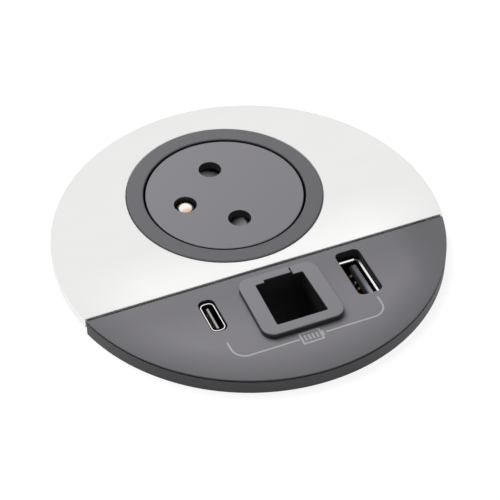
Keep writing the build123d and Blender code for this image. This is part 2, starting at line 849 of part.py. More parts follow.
def make_inlet_pins():
    bottom = base_bottom + inlet_pin_recess
    top = base_bottom + inlet_height + inlet_tail
    return group(disc(inlet_pin_radius, bottom, top, spot) for spot in inlet_pin_spots())


def make_plate_screws():
    length = deck_thickness + plate_thickness - edge_chamfer - 0.6
    head_bottom = -flange_screw[2]
    return group(screw(flange_screw, head_bottom, length, spot) for spot in plate_screw_spots)


def make_cover_screws():
    length = cover_top - 0.8
    head_bottom = -flange_screw[2]
    return group(screw(flange_screw, head_bottom, length, spot) for spot in cover_screw_spots)


def make_clamp_washer():
    bore = collar_radius + thread_clearance
    washer = tube(washer_radius, bore, washer_bottom, washer_top)
    tip = barrel_radius - washer_slot_depth + free_gap
    for side in (-1, 1):
        key_x = side * (tip + bore + 1.0) / 2
        washer += block((bore + 1.0 - tip, washer_key_width), washer_bottom, washer_top, (key_x, 0))
    return washer


def make_locking_ring():
    bottom = lock_top - ring_height
    bore = collar_radius + thread_clearance
    ring = tube(ring_outer_radius, bore, bottom, lock_top)
    ring += tube(washer_radius, bore, lock_top - 2.0, lock_top)
    for number in range(grip_count):
        spot = around(ring_outer_radius, number * 360 / grip_count)
        ring += disc(grip_radius, bottom, lock_top - 2.0, spot) - disc(bore, bottom, lock_top)
    return ring


def wire(points):
    """A round wire along straight runs joined by arcs."""
    path = FilletPolyline(*points, radius=wire_bend)
    plane = Plane(origin=path.position_at(0), z_dir=path.tangent_at(0))
    return sweep(plane * Circle(wire_radius), path=path)


def make_live_wire():
    start_x, start_y = inlet_pin_spots()[0]
    tail_x, tail_y = pin_spots[1]
    start_z = base_bottom + inlet_height + inlet_tail
    run_z = -block_depth - wire_under_block
    drop_x = inlet_x - inlet_size[0] / 2 - 2.0
    return wire(
        (
            (start_x, start_y, start_z),
            (start_x, start_y, start_z + 4.2),
            (drop_x, start_y, start_z + 4.2),
            (drop_x, start_y, run_z),
            (tail_x + 10.0, tail_y, run_z),
            (tail_x + tail_width / 2, tail_y, run_z),
        )
    )


def make_neutral_wire():
    start_x, start_y = inlet_pin_spots()[2]
    tail_x, tail_y = pin_spots[0]
    start_z = base_bottom + inlet_height + inlet_tail
    run_z = -block_depth - wire_under_block
    drop_x = start_x - 2.0
    drop_y = inlet_y + inlet_size[1] / 2 + 3.0
    return wire(
        (
            (start_x, start_y, start_z),
            (start_x, start_y, start_z + 4.2),
            (drop_x, drop_y, start_z + 4.2),
            (drop_x, drop_y, run_z),
            (drop_x - 7.0, drop_y - 1.0, run_z),
            (tail_x + 10.0, tail_y, run_z),
            (tail_x + tail_width / 2, tail_y, run_z),
        )
    )


def make_earth_wire():
    start_x, start_y = inlet_pin_spots()[1]
    start_z = base_bottom + inlet_height + inlet_tail
    low_z = -block_depth - earth_wire_under_block
    end_z = -block_depth - terminal_thickness / 2 - 0.5
    end_x = earth_spot[0] + terminal_length
    drop_x = inlet_x - inlet_size[0] / 2 - 1.25
    return wire(
        (
            (start_x, start_y, start_z),
            (start_x, start_y, start_z + 4.2),
            (drop_x, start_y, start_z + 4.2),
            (drop_x, start_y, low_z),
            (end_x + 10.5, socket_y, low_z),
            (end_x + 5.0, socket_y, end_z),
            (end_x, socket_y, end_z),
        )
    )


makers = {
    "top_plate": make_top_plate,
    "port_cover": make_port_cover,
    "deck_plate": make_deck_plate,
    "housing": make_housing,
    "flange_gasket": make_flange_gasket,
    "bottom_cover": make_bottom_cover,
    "bottom_screws": make_bottom_screws,
    "socket_ring": make_socket_ring,
    "socket_face": make_socket_face,
    "face_spring": make_face_spring,
    "safety_shutter": make_safety_shutter,
    "shutter_retainer": make_shutter_retainer,
    "retainer_screws": make_retainer_screws,
    "shutter_spring": make_shutter_spring,
    "contact_block": make_contact_block,
    "block_screws": make_block_screws,
    "live_contact": lambda: make_contact(pin_spots[1]),
    "neutral_contact": lambda: make_contact(pin_spots[0]),
    "earth_pin": make_earth_pin,
    "earth_terminal": make_earth_terminal,
    "earth_nut": make_earth_nut,
    "module_frame": make_module_frame,
    "usb_c_shell": make_usb_c_shell,
    "usb_c_tongue": make_usb_c_tongue,
    "usb_c_spacer": make_usb_c_spacer,
    "usb_a_shell": make_usb_a_shell,
    "usb_a_tongue": make_usb_a_tongue,
    "usb_a_contacts": make_usb_a_contacts,
    "charger_board": make_charger_board,
    "board_screws": make_board_screws,
    "charger_transformer": make_charger_transformer,
    "charger_capacitors": make_charger_capacitors,
    "charger_inductor": make_charger_inductor,
    "inlet_shell": make_inlet_shell,
    "inlet_pins": make_inlet_pins,
    "live_wire": make_live_wire,
    "neutral_wire": make_neutral_wire,
    "earth_wire": make_earth_wire,
    "plate_screws": make_plate_screws,
    "cover_screws": make_cover_screws,
    "clamp_washer": make_clamp_washer,
    "locking_ring": make_locking_ring,
}

os.makedirs("parts", exist_ok=True)
for name, maker in makers.items():
    export_step(maker(), f"parts/{name}.step")
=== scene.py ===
"""A flush desk socket unit with a sprung mains face, USB ports and an empty module bay.

Mesh helpers take millimetres, in the unit's own frame: Z = 0 is the top of the desk, +Z points up out
of it, +Y is the back, and the origin is the centre of the round hole.
"""

from math import cos, pi, radians, sin, sqrt

import bmesh
import bpy
from bpy.props import FloatProperty, FloatVectorProperty, IntProperty, PointerProperty
from mathutils import Matrix, Vector


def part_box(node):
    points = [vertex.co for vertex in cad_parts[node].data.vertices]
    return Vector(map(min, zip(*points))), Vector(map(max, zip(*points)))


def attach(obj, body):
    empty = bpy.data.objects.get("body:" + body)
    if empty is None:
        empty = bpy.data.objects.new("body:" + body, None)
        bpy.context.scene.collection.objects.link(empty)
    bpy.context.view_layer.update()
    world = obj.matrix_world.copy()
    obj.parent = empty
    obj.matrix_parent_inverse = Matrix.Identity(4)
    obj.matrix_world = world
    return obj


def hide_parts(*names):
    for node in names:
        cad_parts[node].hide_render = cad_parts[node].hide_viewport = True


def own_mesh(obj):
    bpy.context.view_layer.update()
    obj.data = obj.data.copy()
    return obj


bl_info = {
    "name": "Desk socket with sprung face",
    "version": (1, 0, 0),
    "blender": (4, 5, 0),
    "location": "View3D > Sidebar > Desk socket",
    "description": "Finishes, small parts and studio for a flush desk socket unit",
    "category": "Object",
}

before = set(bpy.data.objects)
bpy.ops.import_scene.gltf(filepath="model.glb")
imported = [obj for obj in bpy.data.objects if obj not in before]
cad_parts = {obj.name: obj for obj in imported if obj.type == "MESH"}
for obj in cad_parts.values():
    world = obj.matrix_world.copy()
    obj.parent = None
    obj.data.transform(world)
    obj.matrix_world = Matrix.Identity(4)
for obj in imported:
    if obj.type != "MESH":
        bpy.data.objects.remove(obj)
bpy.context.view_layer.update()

MM = 0.001
SMOOTH_ANGLE = radians(32)
CUTOUT_RADIUS = 40.0
# Everything further than this from the upright axis is the unit's outer rim
RIM_START = 43.0
# A mix node has sockets of the same names for each kind of value: these are the ones for colours
MIX_FIRST, MIX_SECOND, MIX_RESULT = 6, 7, 2


def low(node):
    """The lowest corner of a carried-over node, in millimetres."""
    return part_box(node)[0] / MM


def high(node):
    """The highest corner of a carried-over node, in millimetres."""
    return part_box(node)[1] / MM


def middle(node):
    """The middle of a carried-over node, in millimetres."""
    return (low(node) + high(node)) / 2


# Properties

def length_of(name, description, default, smallest=0.0):
    """A length that the panel shows in the scene's own unit, given here in millimetres."""
    return FloatProperty(
        name=name, description=description, default=default * MM, min=smallest * MM,
        precision=5, subtype="DISTANCE", unit="LENGTH",
    )


def angle_of(name, description, degrees):
    return FloatProperty(
        name=name, description=description, default=radians(degrees), subtype="ANGLE", unit="ROTATION"
    )


def colour_of(name, surface, default):
    return FloatVectorProperty(
        name=name, description="Colour of " + surface, default=default, min=0.0, max=1.0, size=3,
        subtype="COLOR",
    )


def share_of(name, description, default):
    return FloatProperty(
        name=name, description=description, default=default, min=0.0, max=1.0, subtype="FACTOR"
    )


def power_of(name, description, default):
    return FloatProperty(name=name, description=description, default=default, min=0.0, unit="POWER")


class TrimSettings(bpy.types.PropertyGroup):
    """The brushed plate and the black plastic round it."""

    trim: colour_of("Aluminium", "the brushed trim plate", (0.825, 0.825, 0.818))
    trim_roughness: share_of("Brushing", "Roughness of the brushed trim plate", 0.34)
    streak_length: length_of("Streak length", "Length of a brush mark along the chord", 14.0)
    streak_width: length_of("Streak width", "Width of a brush mark across the chord", 0.22)
    cover: colour_of("Front cover", "the front cover", (0.182, 0.177, 0.191))
    bezel: colour_of("Module frame", "the frame round the module opening", (0.228, 0.222, 0.238))
    body: colour_of("Body", "the housing below the desk", (0.040, 0.040, 0.043))


class SocketSettings(bpy.types.PropertyGroup):
    """The mains socket, its face and what lies under it."""

    ring: colour_of("Ring", "the ring round the sprung face", (0.115, 0.112, 0.121))
    face: colour_of("Face", "the sprung face", (0.195, 0.19, 0.205))
    shutter: colour_of("Shutter", "the safety shutter", (0.16, 0.16, 0.165))
    earth: colour_of("Earth pin", "the plated earth pin", (0.95, 0.92, 0.86))
    # Colour of the painted copper-coloured reflection near the earth pin's tip.
    earth_copper_reflection: colour_of("Earth pin, worn", "the earth pin where its plating is gone", (0.83, 0.45, 0.30))
    wire_radius: length_of("Spring wire", "Radius of the return spring's wire", 0.6, 0.1)
    spring_turns: FloatProperty(
        name="Spring turns", description="Turns of the return spring", default=5.5, min=2.0, max=7.0
    )
    spring_end_turns: FloatProperty(
        name="Closed turns", description="Turns wound close at each end", default=0.75, min=0.0, max=1.5
    )


class PortSettings(bpy.types.PropertyGroup):
    """The two USB ports."""

    shell: colour_of("Shells", "the plated port shells", (0.97, 0.95, 0.91))
    usb_a_tongue: colour_of("USB-A tongue", "the USB-A port's tongue", (0.12, 0.13, 0.148))
    usb_c_tongue: colour_of("USB-C tongue", "the USB-C port's tongue", (0.40, 0.40, 0.41))
    spacer: colour_of("Spacer", "the spacer under the USB-C port", (0.05, 0.05, 0.052))
    contact: colour_of("Contacts", "the plated contacts", (0.86, 0.50, 0.26))
    lip: length_of("Shell lip", "Radius of the rolled lip of a shell", 0.03, 0.01)
    flare: length_of("Flare", "How far the tabs of the USB-A mouth lean out", 0.14, 0.05)
    contact_bow: length_of("Contact bow", "How far a USB-A contact stands off its tongue", 0.75)
    pad_pitch: length_of("Pad pitch", "Spacing of the USB-C contact pads", 0.5, 0.2)
    pads: IntProperty(name="Pads", description="Contact pads on each side", default=12, min=2, max=12)


class PrintSettings(bpy.types.PropertyGroup):
    """The pale printed line from port to port and its small battery."""

    ink: colour_of("Ink", "the printed line", (0.46, 0.46, 0.47))
    stroke: length_of("Stroke", "Width of the printed line", 0.46, 0.1)
    ink_height: length_of("Ink height", "How far the ink stands on the cover", 0.03, 0.005)
    bend: length_of("Bend", "Radius of the line's two bends", 3.3, 0.5)
    line_y: length_of("Line place", "How far in front of the middle the long line runs", 36.7)
    bars: IntProperty(name="Bars", description="Bars in the battery", default=4, min=1, max=6)


class BodySettings(bpy.types.PropertyGroup):
    """The barrel under the desk and the clamp on it."""

    thread_pitch: length_of("Thread pitch", "Rise of the thread in one turn", 4.0, 1.0)
    thread_crest: length_of("Thread crest", "Radius of the crest of the thread", 39.35, 30.0)
    thread_gap: angle_of("Thread gap", "Half the angle left free at each key slot", 4.2)
    gasket: colour_of("Gasket", "the rubber gasket", (0.028, 0.028, 0.03))
    zinc: colour_of("Washer", "the zinc plated clamp washer", (0.62, 0.63, 0.62))
    steel: colour_of("Screws", "the screws and springs", (0.58, 0.58, 0.59))


class InsideSettings(bpy.types.PropertyGroup):
    """The contacts, the inlet, the wires and the charger."""

    block: colour_of("Contact block", "the block that holds the contacts", (0.22, 0.22, 0.23))
    brass: colour_of("Brass", "the live and neutral contacts", (0.80, 0.60, 0.28))
    tin: colour_of("Tin", "the earth terminal", (0.72, 0.72, 0.70))
    inlet: colour_of("Inlet", "the shell of the mains inlet", (0.72, 0.72, 0.70))
    nickel: colour_of("Inlet pins", "the plated pins of the inlet", (0.78, 0.76, 0.70))
    live: colour_of("Live wire", "the live wire's sheath", (0.16, 0.065, 0.03))
    neutral: colour_of("Neutral wire", "the neutral wire's sheath", (0.03, 0.12, 0.42))
    earth: colour_of("Earth wire", "the earth wire's sheath", (0.30, 0.46, 0.04))
    board: colour_of("Board", "the charger board", (0.02, 0.13, 0.06))
    ferrite: colour_of("Ferrite", "the transformer and the inductor", (0.05, 0.05, 0.055))
    can: colour_of("Capacitors", "the capacitors' sleeves", (0.03, 0.05, 0.20))


class StudioSettings(bpy.types.PropertyGroup):
    """The camera, the lamps and the round desk panel."""

    lens: FloatProperty(name="Lens", description="Focal length in millimetres", default=144.0, min=20.0)
    distance: length_of("Distance", "From the camera to the point it aims at", 480.24, 100.0)
    azimuth: angle_of("Azimuth", "Camera's way round from the front", -23.403)
    elevation: angle_of("Elevation", "Camera's height above the desk", 44.158)
    roll: angle_of("Roll", "Camera's turn about its own line of sight", 0.416)
    aim_right: FloatProperty(name="Aim right", description="Aim, to the right", default=0.357 * MM)
    aim_up: FloatProperty(name="Aim up", description="Aim, upwards", default=-4.263 * MM)
    panel_radius: length_of("Panel radius", "Radius of the round desk panel", 78.0, 50.0)
    panel_shift: length_of("Panel shift", "How far the panel is set towards the camera", 24.0)
    panel_thickness: length_of("Panel thickness", "Thickness of the desk panel", 1.6, 0.5)
    key_power: power_of("Key lamp", "Power of the soft lamp overhead", 0.62)
    strip_power: power_of("Strip lamps", "Power of each low lamp", 0.06)
    sky: share_of("Sky", "Strength of the plain light from all round", 0.13)


SETTINGS = {
    "desk_socket_trim": TrimSettings,
    "desk_socket_mains": SocketSettings,
    "desk_socket_ports": PortSettings,
    "desk_socket_print": PrintSettings,
    "desk_socket_body": BodySettings,
    "desk_socket_inside": InsideSettings,
    "desk_socket_studio": StudioSettings,
}


# Outlines, as lists of places in the plane

def circle(radius, centre, count):
    turns = [2 * pi * k / count for k in range(count)]
    return [(centre[0] + radius * cos(turn), centre[1] + radius * sin(turn)) for turn in turns]


def rounded(width, length, corner, centre, steps=8):
    """A rectangle with rounded corners, anticlockwise."""
    points = []
    for turn, (side_x, side_y) in enumerate(((1, 1), (-1, 1), (-1, -1), (1, -1))):
        hub_x = centre[0] + side_x * (width / 2 - corner)
        hub_y = centre[1] + side_y * (length / 2 - corner)
        for step in range(steps + 1):
            angle = (turn + step / steps) * pi / 2
            points.append((hub_x + corner * cos(angle), hub_y + corner * sin(angle)))
    return points


def across_bend(before, here, after, shortest):
    """The way square to a line where it bends, and how much further a mitre reaches there."""
    first = (here - before).normalized()
    second = (after - here).normalized()
    way = Vector((-first.y - second.y, first.x + second.x)).normalized()
    return way, 1 / max(way.dot(Vector((-first.y, first.x))), shortest)


def inset(outline, distance):
    """The outline moved inwards by a distance, or outwards where it is negative."""
    places = [Vector(place) for place in outline]
    moved = []
    for k, here in enumerate(places):
        way, stretch = across_bend(places[k - 1], here, places[(k + 1) % len(places)], 0.3)
        moved.append(tuple(here + way * (distance * stretch)))
    return moved


def rolled_edge(radius, top, steps):
    """A quarter round at the top of a wall, as each point's inset and level."""
    turns = [pi / 2 * step / steps for step in range(steps + 1)]
    return [(radius * (1 - cos(turn)), top - radius + radius * sin(turn)) for turn in turns]


# Meshes, in millimetres until they become a piece

def add_ring(bm, outline, level):
    return [bm.verts.new((x, y, level)) for x, y in outline]


def bridge(bm, first, second):
    """Quads from one closed ring to the next."""
    count = len(first)
    for k in range(count):
        after = (k + 1) % count
        bm.faces.new((first[k], first[after], second[after], second[k]))


def fill(bm, rings):
    """A flat cap with holes, between one outer ring and any inner ones."""
    edges = []
    for ring in rings:
        for k, vert in enumerate(ring):
            after = ring[(k + 1) % len(ring)]
            edges.append(bm.edges.get((vert, after)) or bm.edges.new((vert, after)))
    bmesh.ops.triangle_fill(bm, use_beauty=True, use_dissolve=False, edges=edges)


def add_walls(bm, outline, profile):
    """Walls that follow an outline. The profile gives each ring's inset and level."""
    rings = [add_ring(bm, inset(outline, step) if step else outline, level) for step, level in profile]
    for first, second in zip(rings, rings[1:]):
        bridge(bm, first, second)
    return rings


def add_slab(bm, outline, bottom, top, edge):
    """A flat piece with its upper edge rounded off."""
    rings = add_walls(bm, outline, [(0.0, bottom)] + rolled_edge(edge, top, 3))
    fill(bm, [rings[0]])
    fill(bm, [rings[-1]])


def add_sleeve(bm, outline, wall, bottom, top, lip):
    """A tube of sheet metal round an outline, with a rolled lip at the top."""
    outside = [(0.0, bottom)] + rolled_edge(lip, top, 4)
    inside = [(wall - step, level) for step, level in reversed(outside)]
    rings = add_walls(bm, outline, outside + inside)
    bridge(bm, rings[-1], rings[0])


def add_turned(bm, profile, centre, count=32):
    """A piece turned on an upright axis. The profile gives the radius and level of each ring."""
    rings = []
    for radius, level in profile:
        outline = circle(radius, centre, count) if radius else [centre]
        rings.append(add_ring(bm, outline, level))
    for first, second in zip(rings, rings[1:]):
        for k in range(count):
            after = (k + 1) % count
            corners = [first[k % len(first)], first[after % len(first)]]
            corners += [second[after % len(second)], second[k % len(second)]]
            bm.faces.new(list(dict.fromkeys(corners)))
    return rings


def add_stroke(bm, points, width, bottom, top, closed=False):
    """A printed stroke along a line, with mitred bends and square ends."""
    places = [Vector(point) for point in points]
    count = len(places)
    left, right = [], []
    for k, here in enumerate(places):
        before, after = places[k - 1], places[(k + 1) % count]
        if k == 0 and not closed:
            before = here * 2 - after
        if k == count - 1 and not closed:
            after = here * 2 - before
        way, stretch = across_bend(before, here, after, 0.4)
        left.append(here + way * (width / 2 * stretch))
        right.append(here - way * (width / 2 * stretch))
    low_left, low_right, top_left, top_right = [
        add_ring(bm, side, level) for level in (bottom, top) for side in (left, right)
    ]
    for k in range(count if closed else count - 1):
        n = (k + 1) % count
        bm.faces.new((top_left[k], top_right[k], top_right[n], top_left[n]))
        bm.faces.new((low_left[n], low_right[n], low_right[k], low_left[k]))
        bm.faces.new((low_left[k], top_left[k], top_left[n], low_left[n]))
        bm.faces.new((low_right[n], top_right[n], top_right[k], low_right[k]))
    if not closed:
        bm.faces.new((low_left[0], low_right[0], top_right[0], top_left[0]))
        bm.faces.new((low_right[-1], low_left[-1], top_left[-1], top_right[-1]))


def add_sweep(bm, sections):
    """A solid through a row of equal sections, closed at both ends."""
    rings = [[bm.verts.new(place) for place in section] for section in sections]
    for first, second in zip(rings, rings[1:]):
        bridge(bm, first, second)
    bm.faces.new(list(reversed(rings[0])))
    bm.faces.new(rings[-1])


def wire_sections(path, radius, sides=14):
    """Round sections square to a path, turned as little as possible from one to the next."""
    sections = []
    across = Vector((0, 0, 1))
    for k, place in enumerate(path):
        along = (path[min(k + 1, len(path) - 1)] - path[max(k - 1, 0)]).normalized()
        across = (across - along * across.dot(along)).normalized()
        beside = along.cross(across)
        sections.append([place + across * x + beside * y for x, y in circle(radius, (0, 0), sides)])
    return sections


def make_piece(name, bm):
    """Turns the mesh into an object in metres, with its flat faces kept crisp."""
    bmesh.ops.recalc_face_normals(bm, faces=bm.faces)
    bmesh.ops.scale(bm, vec=(MM, MM, MM), verts=bm.verts)
    mesh = bpy.data.meshes.new(name)
    bm.to_mesh(mesh)
    bm.free()
    mesh.polygons.foreach_set("use_smooth", [True] * len(mesh.polygons))
    mesh.set_sharp_from_angle(angle=SMOOTH_ANGLE)
    piece = bpy.data.objects.new(name, mesh)
    bpy.context.scene.collection.objects.link(piece)
    return piece


def add_to_base(name, bm, material, replaced=()):
    """A new piece attached to the base, with its finish, and with the carried-over nodes that it replaces
    hidden.
    """
    piece = make_piece(name, bm)
    piece.data.materials.append(material)
    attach(piece, "base")
    if replaced:
        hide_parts(*replaced)
    return piece


def coat(material, *names):
    """Gives carried-over nodes a finish."""
    for name in names:
        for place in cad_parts[name].material_slots:
            place.material = material


# Shader helpers

def join(tree, given, socket):
    """Links a socket to the one that is given, or sets it where a plain value is given."""
    if isinstance(given, bpy.types.NodeSocket):
        tree.links.new(given, socket)
    else:
        socket.default_value = given


def add_node(tree, kind, inputs=None, **settings):
    """A node with its settings, and with its inputs joined to sockets or set to plain values."""
    node = tree.nodes.new(kind)
    for name, value in settings.items():
        setattr(node, name, value)
    for name, given in (inputs or {}).items():
        join(tree, given, node.inputs[name])
    return node


def calculate(tree, operation, *terms, clamp=True):
    """A sum on masks and values, held between 0 and 1 unless it isn't clamped."""
    terms = dict(enumerate(terms))
    return add_node(tree, "ShaderNodeMath", terms, operation=operation, use_clamp=clamp).outputs[0]


def multiply_add(tree, source, factor, offset=0.0):
    """source * factor + offset, held between 0 and 1."""
    return calculate(tree, "MULTIPLY_ADD", source, factor, offset)


def around(tree, mask, value, spread):
    """A value that changes with a mask, by up to the spread either way."""
    return multiply_add(tree, mask, 2 * spread, value - spread)


def product(tree, first, second):
    return calculate(tree, "MULTIPLY", first, second)


def own_place(tree):
    """Where a point lies in the unit's own frame."""
    return add_node(tree, "ShaderNodeTexCoord").outputs["Object"]


def noise(tree, place, stretch, detail):
    """Noise whose grains measure the given millimetres along X, Y and Z."""
    scale = [1 / (size * MM) for size in stretch]
    spread = add_node(tree, "ShaderNodeMapping", {"Vector": place, "Scale": scale}).outputs["Vector"]
    grains = {"Vector": spread, "Scale": 1.0, "Detail": detail}
    return add_node(tree, "ShaderNodeTexNoise", grains).outputs["Fac"]


def scaled_noise(tree, place, size, detail):
    """Even noise whose grain size, in metres, comes from a socket."""
    scale = calculate(tree, "DIVIDE", 1.0, size, clamp=False)
    grains = {"Vector": place, "Scale": scale, "Detail": detail}
    return add_node(tree, "ShaderNodeTexNoise", grains).outputs["Fac"]


def wire_moulded_skin(group, given):
    """Spark-eroded mould texture: a fine grain, slow changes of tone and some glossier places."""
    grain_share, gloss_contrast, gloss_offset = 0.35, 1.8, -0.4
    place = own_place(group)
    grain = scaled_noise(group, place, given["Grain"], 2.0)
    mottle = scaled_noise(group, place, given["Mottle"], 4.0)
    blend = {"Factor": grain_share, "A": mottle, "B": grain}
    tone = add_node(group, "ShaderNodeMix", blend, data_type="FLOAT").outputs["Result"]
    gloss = multiply_add(group, mottle, gloss_contrast, gloss_offset)
    return {"Tone": tone, "Gloss": gloss, "Height": grain}


def wire_brush_marks(group, given):
    """Brush marks along X: long thin streaks, and broad patches where they differ in tone."""
    patch_size = (30.0, 6.0, 6.0)
    place = own_place(group)
    apart = add_node(group, "ShaderNodeSeparateXYZ", {0: place}).outputs
    marks = {
        axis: calculate(group, "DIVIDE", apart[axis], given[size], clamp=False)
        for axis, size in (("X", "Length"), ("Y", "Width"))
    }
    spread = add_node(group, "ShaderNodeCombineXYZ", marks).outputs[0]
    grains = {"Vector": spread, "Scale": 1.0, "Detail": 3.0, "Roughness": 0.65}
    streak = add_node(group, "ShaderNodeTexNoise", grains).outputs["Fac"]
    return {"Streak": streak, "Patch": noise(group, place, patch_size, 2.0), "Height": streak}


def wire_edge_wear_and_highlight(group, given):
    """Rounds the look of a crisp edge, and gives a mask of the edges, which are painted paler partly as wear
    and partly as a painted highlight.
    """
    contrast = 4.0
    soft = add_node(group, "ShaderNodeBevel", {"Radius": given["Softness"]}, samples=4).outputs["Normal"]
    plain = add_node(group, "ShaderNodeNewGeometry").outputs["Normal"]
    meet = add_node(group, "ShaderNodeVectorMath", {0: soft, 1: plain}, operation="DOT_PRODUCT")
    wear_and_highlight = multiply_add(group, meet.outputs["Value"], -contrast, contrast)
    return {"WearAndHighlight": wear_and_highlight, "Normal": soft}


# Each shared group's sizes in millimetres, and the function that wires it and gives what it puts out
GROUPS = {
    "moulded_skin": ({"Grain": 0.3, "Mottle": 9.0}, wire_moulded_skin),
    "brush_marks": ({"Length": 14.0, "Width": 0.22}, wire_brush_marks),
    "edge_wear_and_highlight": ({"Softness": 0.12}, wire_edge_wear_and_highlight),
}


def make_group(name):
    """A node group with named sockets, wired once and then shared by the materials."""
    sizes, wire = GROUPS[name]
    group = bpy.data.node_groups.new(name, "ShaderNodeTree")
    for title, size in sizes.items():
        socket = group.interface.new_socket(name=title, in_out="INPUT", socket_type="NodeSocketFloat")
        socket.default_value = size * MM
    results = wire(group, add_node(group, "NodeGroupInput").outputs)
    for title in results:
        kind = "NodeSocketVector" if title == "Normal" else "NodeSocketFloat"
        group.interface.new_socket(name=title, in_out="OUTPUT", socket_type=kind)
    add_node(group, "NodeGroupOutput", results)
    return group


def place_group(tree, name, sizes):
    """Puts a shared group in a material with its own sizes, and gives what it puts out."""
    group = bpy.data.node_groups.get(name) or make_group(name)
    inputs = {title: size * MM for title, size in sizes.items()}
    return add_node(tree, "ShaderNodeGroup", inputs, node_tree=group).outputs


def place_ramp(tree, axis, start, end):
    """A mask that goes from nought to one between two places on an axis, given in millimetres.

    The axis AWAY is the distance from the unit's own upright axis.
    """
    place = own_place(tree)
    if axis == "AWAY":
        flat = add_node(tree, "ShaderNodeMapping", {"Vector": place, "Scale": (1, 1, 0)})
        away = add_node(tree, "ShaderNodeVectorMath", {0: flat.outputs["Vector"]}, operation="LENGTH")
        where = away.outputs["Value"]
    else:
        where = add_node(tree, "ShaderNodeSeparateXYZ", {0: place}).outputs[axis]
    limits = {"Value": where, "From Min": start * MM, "From Max": end * MM}
    return add_node(tree, "ShaderNodeMapRange", limits, clamp=True).outputs[0]


def tint(colour, factor):
    return tuple(min(part * factor, 1.0) for part in colour) + (1.0,)


def mix_colours(tree, factor, first, second):
    """A colour between two, each a value or a socket, by a factor that changes over the surface."""
    inputs = {"Factor": factor, MIX_FIRST: first, MIX_SECOND: second}
    return add_node(tree, "ShaderNodeMix", inputs, data_type="RGBA").outputs[MIX_RESULT]


def varied(tree, mask, colour, vary):
    """The colour, darker and paler by a small share from place to place."""
    return mix_colours(tree, mask, tint(colour, 1 - vary), tint(colour, 1 + vary))


def pale_edges_wear_and_highlight(tree, plain, colour, softness, share, paler):
    """The plain colour with edges painted paler, partly as wear and partly as a painted highlight, and the
    normal that rounds them.
    """
    edge = place_group(tree, "edge_wear_and_highlight", {"Softness": softness})
    wear_and_highlight = multiply_add(tree, edge["WearAndHighlight"], share)
    return mix_colours(tree, wear_and_highlight, plain, tint(colour, paler)), edge["Normal"]


def hollow_shade_in(node, edge, depth, share):
    """Where painted shade darkens the walls of a node's openings, in the form that the shade painter for
    openings takes.
    """
    return high(node).z - edge, depth, share


def paint_hollow_shade(tree, colour, plain, hollow_shade):
    """The plain colour with painted shade that darkens it down the walls of openings, but not at the unit's
    rim.

    The given shade holds the level where the painted shade begins, the depth at which it is darkest and
    the share of the colour that is left there.
    """
    level, depth, share = hollow_shade
    deep = place_ramp(tree, "Z", level, level - depth)
    inside = place_ramp(tree, "AWAY", RIM_START + 0.1, RIM_START)
    return mix_colours(tree, product(tree, deep, inside), plain, tint(colour, share))


def new_material(name, socket, value):
    """A material with one shader, and one plain value on its own socket."""
    material = bpy.data.materials.new(name)
    material.use_nodes = True
    tree = material.node_tree
    shader = tree.nodes["Principled BSDF"].inputs
    shader[socket].default_value = value
    return material, tree, shader


def finish(tree, shader, colour, roughness, height, depth, normal=None):
    """Joins a material's colour and roughness, and its relief of a given depth in millimetres.

    The relief lies over the softened normal if there is one.
    """
    join(tree, colour, shader["Base Color"])
    join(tree, roughness, shader["Roughness"])
    relief = {"Height": height, "Distance": depth * MM}
    if normal is not None:
        relief["Normal"] = normal
    join(tree, add_node(tree, "ShaderNodeBump", relief).outputs["Normal"], shader["Normal"])


def moulded(
    name, colour, roughness, grain=0.3, depth=0.004, mottle=9.0, vary=0.05, edge_paling_wear_and_highlight=1.2, gloss=0.5,
    hollow_shade=None, painted_fades=(),
):
    """Moulded plastic with a fine eroded grain, and edges painted a little paler, partly as wear and partly
    as a painted highlight.

    Each fade paints light or shade: it gives an axis, or AWAY for the distance from the unit's own axis, the
    places where it starts and ends, and the factor by which the colour has changed there. Where it is given,
    painted shade darkens the walls of openings.
    """
    material, tree, shader = new_material(name, "Specular IOR Level", gloss)
    skin = place_group(tree, "moulded_skin", {"Grain": grain, "Mottle": mottle})
    plain = varied(tree, skin["Tone"], colour, vary)
    plain, normal = pale_edges_wear_and_highlight(tree, plain, colour, softness=0.12, share=0.25, paler=edge_paling_wear_and_highlight)
    for axis, start, end, factor in painted_fades:
        plain = mix_colours(tree, place_ramp(tree, axis, start, end), plain, tint(colour, factor))
    if hollow_shade:
        plain = paint_hollow_shade(tree, colour, plain, hollow_shade)
    roughness = around(tree, skin["Gloss"], roughness, spread=0.05)
    finish(tree, shader, plain, roughness, skin["Height"], depth, normal)
    return material


def plated(name, colour, roughness, cloud=2.0, depth=0.002, softness=0.08, vary=0.08, hollow_shade=None):
    """Plated or tumbled metal: cloudy in tone, with edges painted paler, partly as wear and partly as a
    painted highlight, and, where it is given, painted shade down the walls of openings.
    """
    grain = 0.12
    material, tree, shader = new_material(name, "Metallic", 1.0)
    place = own_place(tree)
    clouds = noise(tree, place, (cloud, cloud, cloud), 4.0)
    fine = noise(tree, place, (grain, grain, grain), 2.0)
    plain = varied(tree, clouds, colour, vary)
    plain, normal = pale_edges_wear_and_highlight(tree, plain, colour, softness, share=0.5, paler=1.2)
    if hollow_shade:
        plain = paint_hollow_shade(tree, colour, plain, hollow_shade)
    finish(tree, shader, plain, around(tree, clouds, roughness, spread=0.1), fine, depth, normal)
    return material


